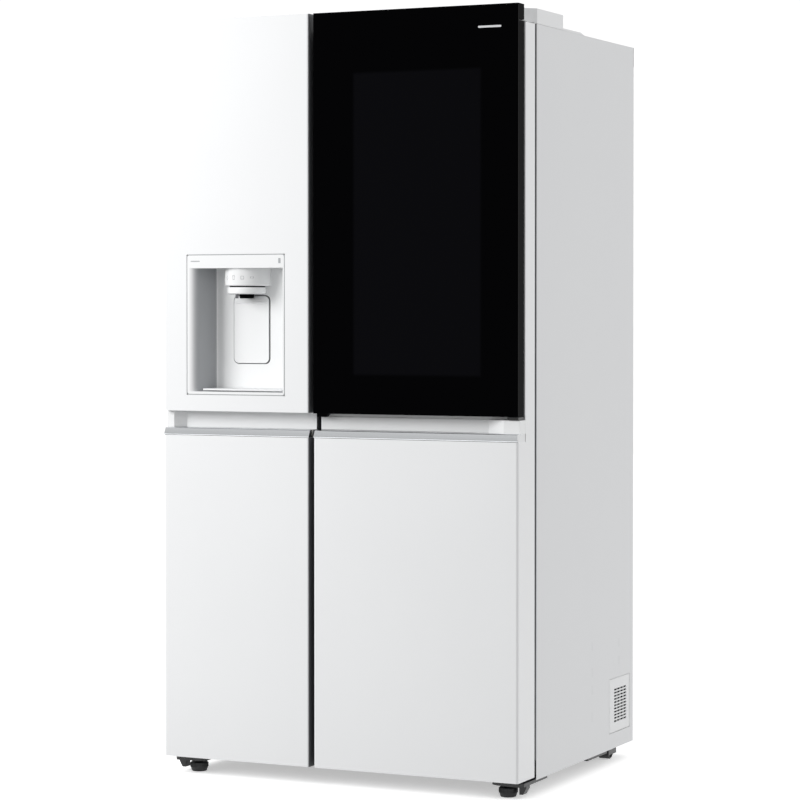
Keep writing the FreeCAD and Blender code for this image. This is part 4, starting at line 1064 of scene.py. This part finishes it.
def drip_tray():
    """Slotted insert on the floor of the niche."""
    low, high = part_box("drip_grille")
    wide, deep, thick = high - low
    grille = repeated(
        "grille", SLOTTED_PLATE, "white_plastic", Plate=(wide, deep, thick),
        Slot=(3.4 * MM, deep - 16 * MM, 4 * thick), Across=24, Up=1, Field_X=wide - 16 * MM, Field_Y=0.001,
        Shift=(0, 0, 0), Turn=(0, 0, 0), Centre=tuple((low + high) / 2),
    )
    soften(grille, 0.4, 2)
    fit(joined("drip_tray", [grille]), "freezer_door", SLOT_OF["drip_grille"], "drip_grille")


# ---------------------------------------------------------------- cabinet
def side_panels():
    """Flat side sheets; the right one has short pressed beads in front of the grille and a dark rear edge."""
    dressed("left_side_panel", 0.3, "side_steel")
    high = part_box("right_side_panel")[1]
    beads = []
    for y, z in ((88.5, 300), (88.5, 238), (88.5, 195), (88.5, 130), (269, 290), (269, 246)):
        outline = [
            (y * MM + p[0], z * MM + p[1])
            for p in rounded((-1.3 * MM, 1.3 * MM), (-11 * MM, 11 * MM), 1.2 * MM, 3)
        ]
        beads.append(prism("bead", outline, 0, high.x - 0.45 * MM, high.x + MM, "side_steel"))
    dressed("right_side_panel", 0.2, "side_steel", tools=beads)
    edge = block(
        "rear_flange", (high.x - 0.9 * MM, high.y - 2.2 * MM, high.z - 48 * MM),
        (high.x, high.y, high.z), "grey_plastic",
    )
    fit(soften(edge, 0.2, 2), "cabinet", "grey_plastic")


def vent_grille():
    """Moulded grille let into the side: one field of slots, four across and eleven rows high, in a plate with
    a lip.
    """
    low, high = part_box("side_vent_grille")
    deep, tall = high.y - low.y, high.z - low.z
    y0, z0 = low.y + 31.1 * MM, low.z + 22.6 * MM
    pitch_y, pitch_z = 21.25 * MM, 7.727 * MM
    plate = repeated(
        "vent_plate", SLOTTED_PLATE, "white_plastic", Plate=(deep, tall, 3 * MM),
        Slot=(18.6 * MM, 4.3 * MM, 12 * MM), Across=4, Up=11, Field_X=3 * pitch_y, Field_Y=10 * pitch_z,
        Shift=(y0 + 2 * pitch_y - (low.y + high.y) / 2, z0 + 5.5 * pitch_z - (low.z + high.z) / 2, 0.0),
        Turn=(math.pi / 2, 0, math.pi / 2),
        Centre=(high.x - 1.5 * MM, (low.y + high.y) / 2, (low.z + high.z) / 2),
    )
    soften(plate, 0.35, 2)
    lip = []
    for a, b in (
        ((0, 0), (deep, 1.2 * MM)), ((0, tall - 1.2 * MM), (deep, tall)), ((0, 0), (1.2 * MM, tall)),
        ((deep - 1.2 * MM, 0), (deep, tall)),
    ):
        lip.append(
            block(
                "lip", (high.x - 1.6 * MM, low.y + a[0], low.z + a[1]),
                (high.x, low.y + b[0], low.z + b[1]), "white_plastic",
            )
        )
    # Black sheet behind the slots: painted shade seen through them.
    dark = block(
        "shade", (low.x - 4 * MM, y0 - 4 * MM, z0 - 4 * MM),
        (low.x - 2 * MM, y0 + 4 * pitch_y + 4 * MM, z0 + 11 * pitch_z + 4 * MM), "black_plastic",
    )
    fit(
        joined("vent_grille_moulding", [plate, dark] + lip), "cabinet", SLOT_OF["side_vent_grille"],
        "side_vent_grille",
    )


def fixing_screws():
    """Screws of the rear cover, the rear panel and the upper hinges."""
    rear = [(x, HIGH.y - 1.2 * MM, z) for x in (-0.445, -0.3, -0.1, 0.1, 0.3, 0.445) for z in (0.052, 0.276)]
    back = repeated(
        "rear_heads", SCREWS, "steel_screw", rear, Radius=4.0 * MM, Height=1.1 * MM,
        Turn=(-math.pi / 2, 0, 0),
    )
    edge = [(side * 0.4475, HIGH.y - 1.05 * MM, 0.36 + 0.17 * i) for side in (-1, 1) for i in range(9)]
    panel = repeated(
        "panel_heads", SCREWS, "steel_screw", edge, Radius=3.6 * MM, Height=1.0 * MM,
        Turn=(-math.pi / 2, 0, 0),
    )
    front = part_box("right_side_panel")[0].y
    tops = [
        (side * 0.4105, front + dy, 1.761 if dy < 0.06 else 1.758)
        for side in (-1, 1) for dy in (0.03, 0.055, 0.08)
    ]
    hinge = repeated(
        "hinge_heads", SCREWS, "steel_screw", tops, Radius=5.0 * MM, Height=3.0 * MM, Turn=(0, 0, 0),
    )
    fit(joined("fixing_screws", [back, panel, hinge]), "cabinet", SLOT_OF["cabinet_screws"], "cabinet_screws")


def rear_panels():
    """Rear sheet with long pressed beads, and the perforated cover of the machine room."""
    low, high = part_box("back_panel")
    beads = []
    for x in (-0.30, -0.10, 0.10, 0.30):
        outline = rounded((x - 9 * MM, x + 9 * MM), (low.z + 0.08, high.z - 0.08), 8.9 * MM, 5)
        beads.append(prism("bead", outline, 1, high.y - 0.4 * MM, high.y + MM, "galvanised"))
    dressed("back_panel", 0.2, "galvanised", tools=beads)
    low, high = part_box("machine_room_cover")
    plate = block("plate", (low.x, high.y - 3 * MM, low.z), (high.x, high.y - 1 * MM, high.z), "galvanised")
    cuts = []
    for x, z, r in ((-0.380, 0.200, 14.0), (-0.400, 0.120, 9.0)):
        cuts.append(
            lathe(
                "hole", [(0, 0), (r * MM, 0), (r * MM, 9 * MM), (0, 9 * MM)], (x, high.y - 6 * MM, z),
                "galvanised", 40, axis=1,
            )
        )
    cut(plate, cuts)
    field = block("field", (-0.262, high.y - 5 * MM, 0.078), (0.254, high.y, 0.238), "galvanised")
    cut(plate, [field])
    louvres = repeated(
        "louvres", SLOTTED_PLATE, "galvanised", Plate=(0.5164, 0.1604, 2 * MM),
        Slot=(24 * MM, 8 * MM, 9 * MM), Across=14, Up=5, Field_X=13 * 36 * MM, Field_Y=4 * 32 * MM,
        Shift=(-0.0, 0.0, 0.0), Turn=(math.pi / 2, 0, 0), Centre=(-0.004, high.y - 2 * MM, 0.158),
    )
    cover = joined("rear_cover_sheet", [plate, louvres])
    soften(cover, 0.4, 2)
    gland = lathe(
        "gland",
        [
            (5 * MM, 6 * MM), (5 * MM, 0.6 * MM), (5.6 * MM, 0), (8.2 * MM, 0), (9 * MM, 0.8 * MM),
            (9 * MM, 6 * MM),
        ],
        (-0.400, high.y - 6 * MM, 0.120), "black_rubber", 40, axis=1,
    )
    fit(joined("rear_cover", [cover, gland]), "cabinet", SLOT_OF["machine_room_cover"], "machine_room_cover")


def feet():
    """Levelling feet: a cup with a ribbed skirt, a hexagon and a threaded stem."""
    for side in ("left", "right"):
        node = "levelling_foot_" + side
        low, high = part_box(node)
        x, y = (low.x + high.x) / 2, (low.y + high.y) / 2
        r = (high.x - low.x) / 2
        cup = lathe(
            "cup",
            [
                (0, 0), (r - 6 * MM, 0), (r - 4.2 * MM, 0.5 * MM), (r - 3.4 * MM, 3 * MM),
                (r - 1.6 * MM, 8 * MM), (r - 1.2 * MM, 9.5 * MM), (r - 1.2 * MM, 20.4 * MM),
                (r - 2.6 * MM, 22 * MM), (12 * MM, 22.4 * MM), (0, 22.4 * MM),
            ],
            (x, y, low.z), "nylon", 64,
        )
        ribs = repeated(
            "ribs", RING, "nylon", Bar=(2.4 * MM, 1.7 * MM, 10 * MM), Count=32, Radius=r - 1.25 * MM,
            Centre=(x, y, low.z + 15 * MM),
        )
        soften(ribs, 0.4, 2)
        nut = prism(
            "nut",
            [
                (x + 10 * MM * math.cos(math.pi / 3 * i), y + 10 * MM * math.sin(math.pi / 3 * i))
                for i in range(6)
            ],
            2, low.z + 22 * MM, low.z + 26.5 * MM, "black_enamel",
        )
        soften(nut, 0.6, 2)
        thread = [(0, 0)]
        for i in range(11):
            thread += [(3.4 * MM, i * 1.5 * MM + 0.2 * MM), (4.0 * MM, i * 1.5 * MM + 0.95 * MM)]
        thread += [
            (3.4 * MM, high.z - low.z - 22.2 * MM), (2.8 * MM, high.z - low.z - 22 * MM),
            (0, high.z - low.z - 22 * MM),
        ]
        stem = lathe("stem", thread, (x, y, low.z + 22 * MM), "black_enamel", 32)
        fit(joined(node + "_moulding", [cup, ribs, nut, stem]), BODY_OF[node], SLOT_OF[node], node)


def rollers():
    """Rear rollers: tyre with a shallow groove, hub and axle bore."""
    for side in ("left", "right"):
        node = "rear_roller_" + side
        low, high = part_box(node)
        y, z, r = (low.y + high.y) / 2, (low.z + high.z) / 2, (high.y - low.y) / 2
        wide = high.x - low.x
        wheel = lathe(
            "wheel",
            [
                (4.05 * MM, 1.5 * MM), (4.6 * MM, 1 * MM), (8 * MM, 1 * MM), (8.6 * MM, 3 * MM),
                (r - 4.4 * MM, 3 * MM), (r - 3.6 * MM, 0.6 * MM), (r - 1.6 * MM, 0), (r, 1.6 * MM),
                (r, wide / 2 - 2 * MM), (r - 1 * MM, wide / 2 - 1 * MM), (r - 1 * MM, wide / 2 + 1 * MM),
                (r, wide / 2 + 2 * MM), (r, wide - 1.6 * MM), (r - 1.6 * MM, wide),
                (r - 3.6 * MM, wide - 0.6 * MM), (r - 4.4 * MM, wide - 3 * MM), (8.6 * MM, wide - 3 * MM),
                (8 * MM, wide - 1 * MM), (4.6 * MM, wide - 1 * MM), (4.05 * MM, wide - 1.5 * MM),
                (4.05 * MM, 1.5 * MM),
            ],
            (low.x, y, z), "nylon", 56, axis=0,
        )
        fit(wheel, BODY_OF[node], SLOT_OF[node], node)


def front_gap_painted_shade():
    """Painted shade: grey bars round the cabinet's front, seen in the gap behind the doors, where shade
    falls.
    """
    low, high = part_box("front_frame")
    y0, y1 = low.y - 2.0 * MM, low.y
    bars = []
    for side in (-1, 1):
        x0, x1 = sorted((side * (high.x - 9 * MM), side * (high.x - 0.2 * MM)))
        bars.append(soften(block("bar", (x0, y0, low.z), (x1, y1, high.z - 0.4 * MM), "gap_shade_and_grey"), 0.5, 2))
    x = high.x - 9.4 * MM
    bars.append(
        soften(block("bar", (-x, y0, high.z - 9 * MM), (x, y1, high.z - 0.4 * MM), "gap_shade_and_grey"), 0.5, 2)
    )
    fit(joined("front_gap_painted_shade", bars), "cabinet", "grey_plastic")


# ---------------------------------------------------------------- inside
def shelves():
    """Glass shelves, each in a white moulded frame with a bright front edge."""
    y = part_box("glass_shelves")[0].y
    plates, frames, strips = [], [], []
    for x0, x1, rear, levels in (
        (-0.0325, 0.4055, 0.265, (0.560, 0.820, 1.080, 1.340)),
        (-0.3955, -0.0955, 0.228, (0.640, 0.900, 1.180, 1.440)),
    ):
        for z in levels:
            glass_low = (x0 + 4 * MM, y + 14 * MM, z + 0.6 * MM)
            glass_high = (x1 - 4 * MM, rear - 14 * MM, z + 4.4 * MM)
            plates.append(soften(block("glass", glass_low, glass_high, "shelf_glass"), 0.6, 2))
            for a, b in (
                ((x0, y + 9 * MM), (x1, y + 20 * MM)), ((x0, rear - 20 * MM), (x1, rear)),
                ((x0, y + 14 * MM), (x0 + 10 * MM, rear - 4 * MM)),
                ((x1 - 10 * MM, y + 14 * MM), (x1, rear - 4 * MM)),
            ):
                bar = block("frame", (a[0], a[1], z), (b[0], b[1], z + 5 * MM), "liner")
                frames.append(soften(bar, 1.2, 2))
            strip_low, strip_high = (x0 + 0.4 * MM, y, z), (x1 - 0.4 * MM, y + 10 * MM, z + 5 * MM)
            strips.append(soften(block("strip", strip_low, strip_high, "aluminium"), 1.4, 3))
    fit(
        joined("shelf_plates", plates + frames + strips), "cabinet", SLOT_OF["glass_shelves"],
        "glass_shelves",
    )


def evaporator():
    """Aluminium tube run with a row of thin fins."""
    fins = repeated(
        "fins", ROW, "aluminium", Bar=(0.4 * MM, 28 * MM, 0.36), Count=31, Start=(-0.3505, 0.270, 0.610),
        Step=(7.2 * MM, 0, 0),
    )
    dressed("evaporator_coil", 0.2, "aluminium")
    fit(fins, "cabinet", "aluminium")


# ---------------------------------------------------------------- pieces that keep their CAD form
EDGES = {
    # node: (edge rounding in mm, finish)
    "top_panel": (0.3, "side_steel"), "front_frame": (0.3, "side_steel"),
    "freezer_liner": (3.0, "liner"), "fridge_liner": (3.0, "liner"), "insulation_foam": (0.5, "foam"),
    "base_frame": (1.0, "black_enamel"), "door_hinges": (0.8, "black_enamel"),
    "compressor": (3.0, "black_enamel"), "condenser_coil": (0.4, "black_enamel"),
    "condenser_fan_frame": (0.8, "black_plastic"), "drain_pan": (1.5, "grey_plastic"),
    "evaporator_cover": (2.0, "liner"), "fridge_air_duct": (3.0, "liner"),
    "interior_lamps": (2.0, "lamp"),
    "water_inlet_valve": (1.0, "white_plastic"),
    "freezer_door_foam": (0.5, "foam"),
    "freezer_door_liner": (3.0, "liner"),
    "freezer_door_baskets": (1.5, "clear_plastic"),
    "ice_maker": (2.0, "white_plastic"),
    "ice_bin": (2.0, "clear_plastic"), "ice_auger": (0.4, "white_plastic"),
    "fridge_door_foam": (0.5, "foam"),
    "fridge_door_liner": (3.0, "liner"),
    "fridge_door_baskets": (1.5, "clear_plastic"),
    "outer_door_hinge": (0.6, "black_enamel"),
    "outer_door_gasket": (0.8, "seal_rubber"), "release_lever": (1.0, "black_plastic"),
    "condenser_fan": (0.5, "black_plastic"), "evaporator_fan": (0.5, "white_plastic"),
    "freezer_drawer_lower": (2.0, "clear_plastic"), "freezer_drawer_upper": (2.0, "clear_plastic"),
    "crisper_drawer_lower": (2.0, "clear_plastic"), "crisper_drawer_upper": (2.0, "clear_plastic"),
}
for node, (width, finish) in EDGES.items():
    dressed(node, width, finish)
dressed("hinge_covers", 0.6, "white_plastic", angle=12)

door_skins()
for node in ("freezer_handle_trim", "fridge_handle_trim"):
    trim_strip(node)
front_glass()
door_seals()
dispenser_surround()
dispenser_controls()
bar_marks()
push_pad()
drip_tray()
side_panels()
front_gap_painted_shade()
vent_grille()
fixing_screws()
rear_panels()
feet()
rollers()
shelves()
evaporator()
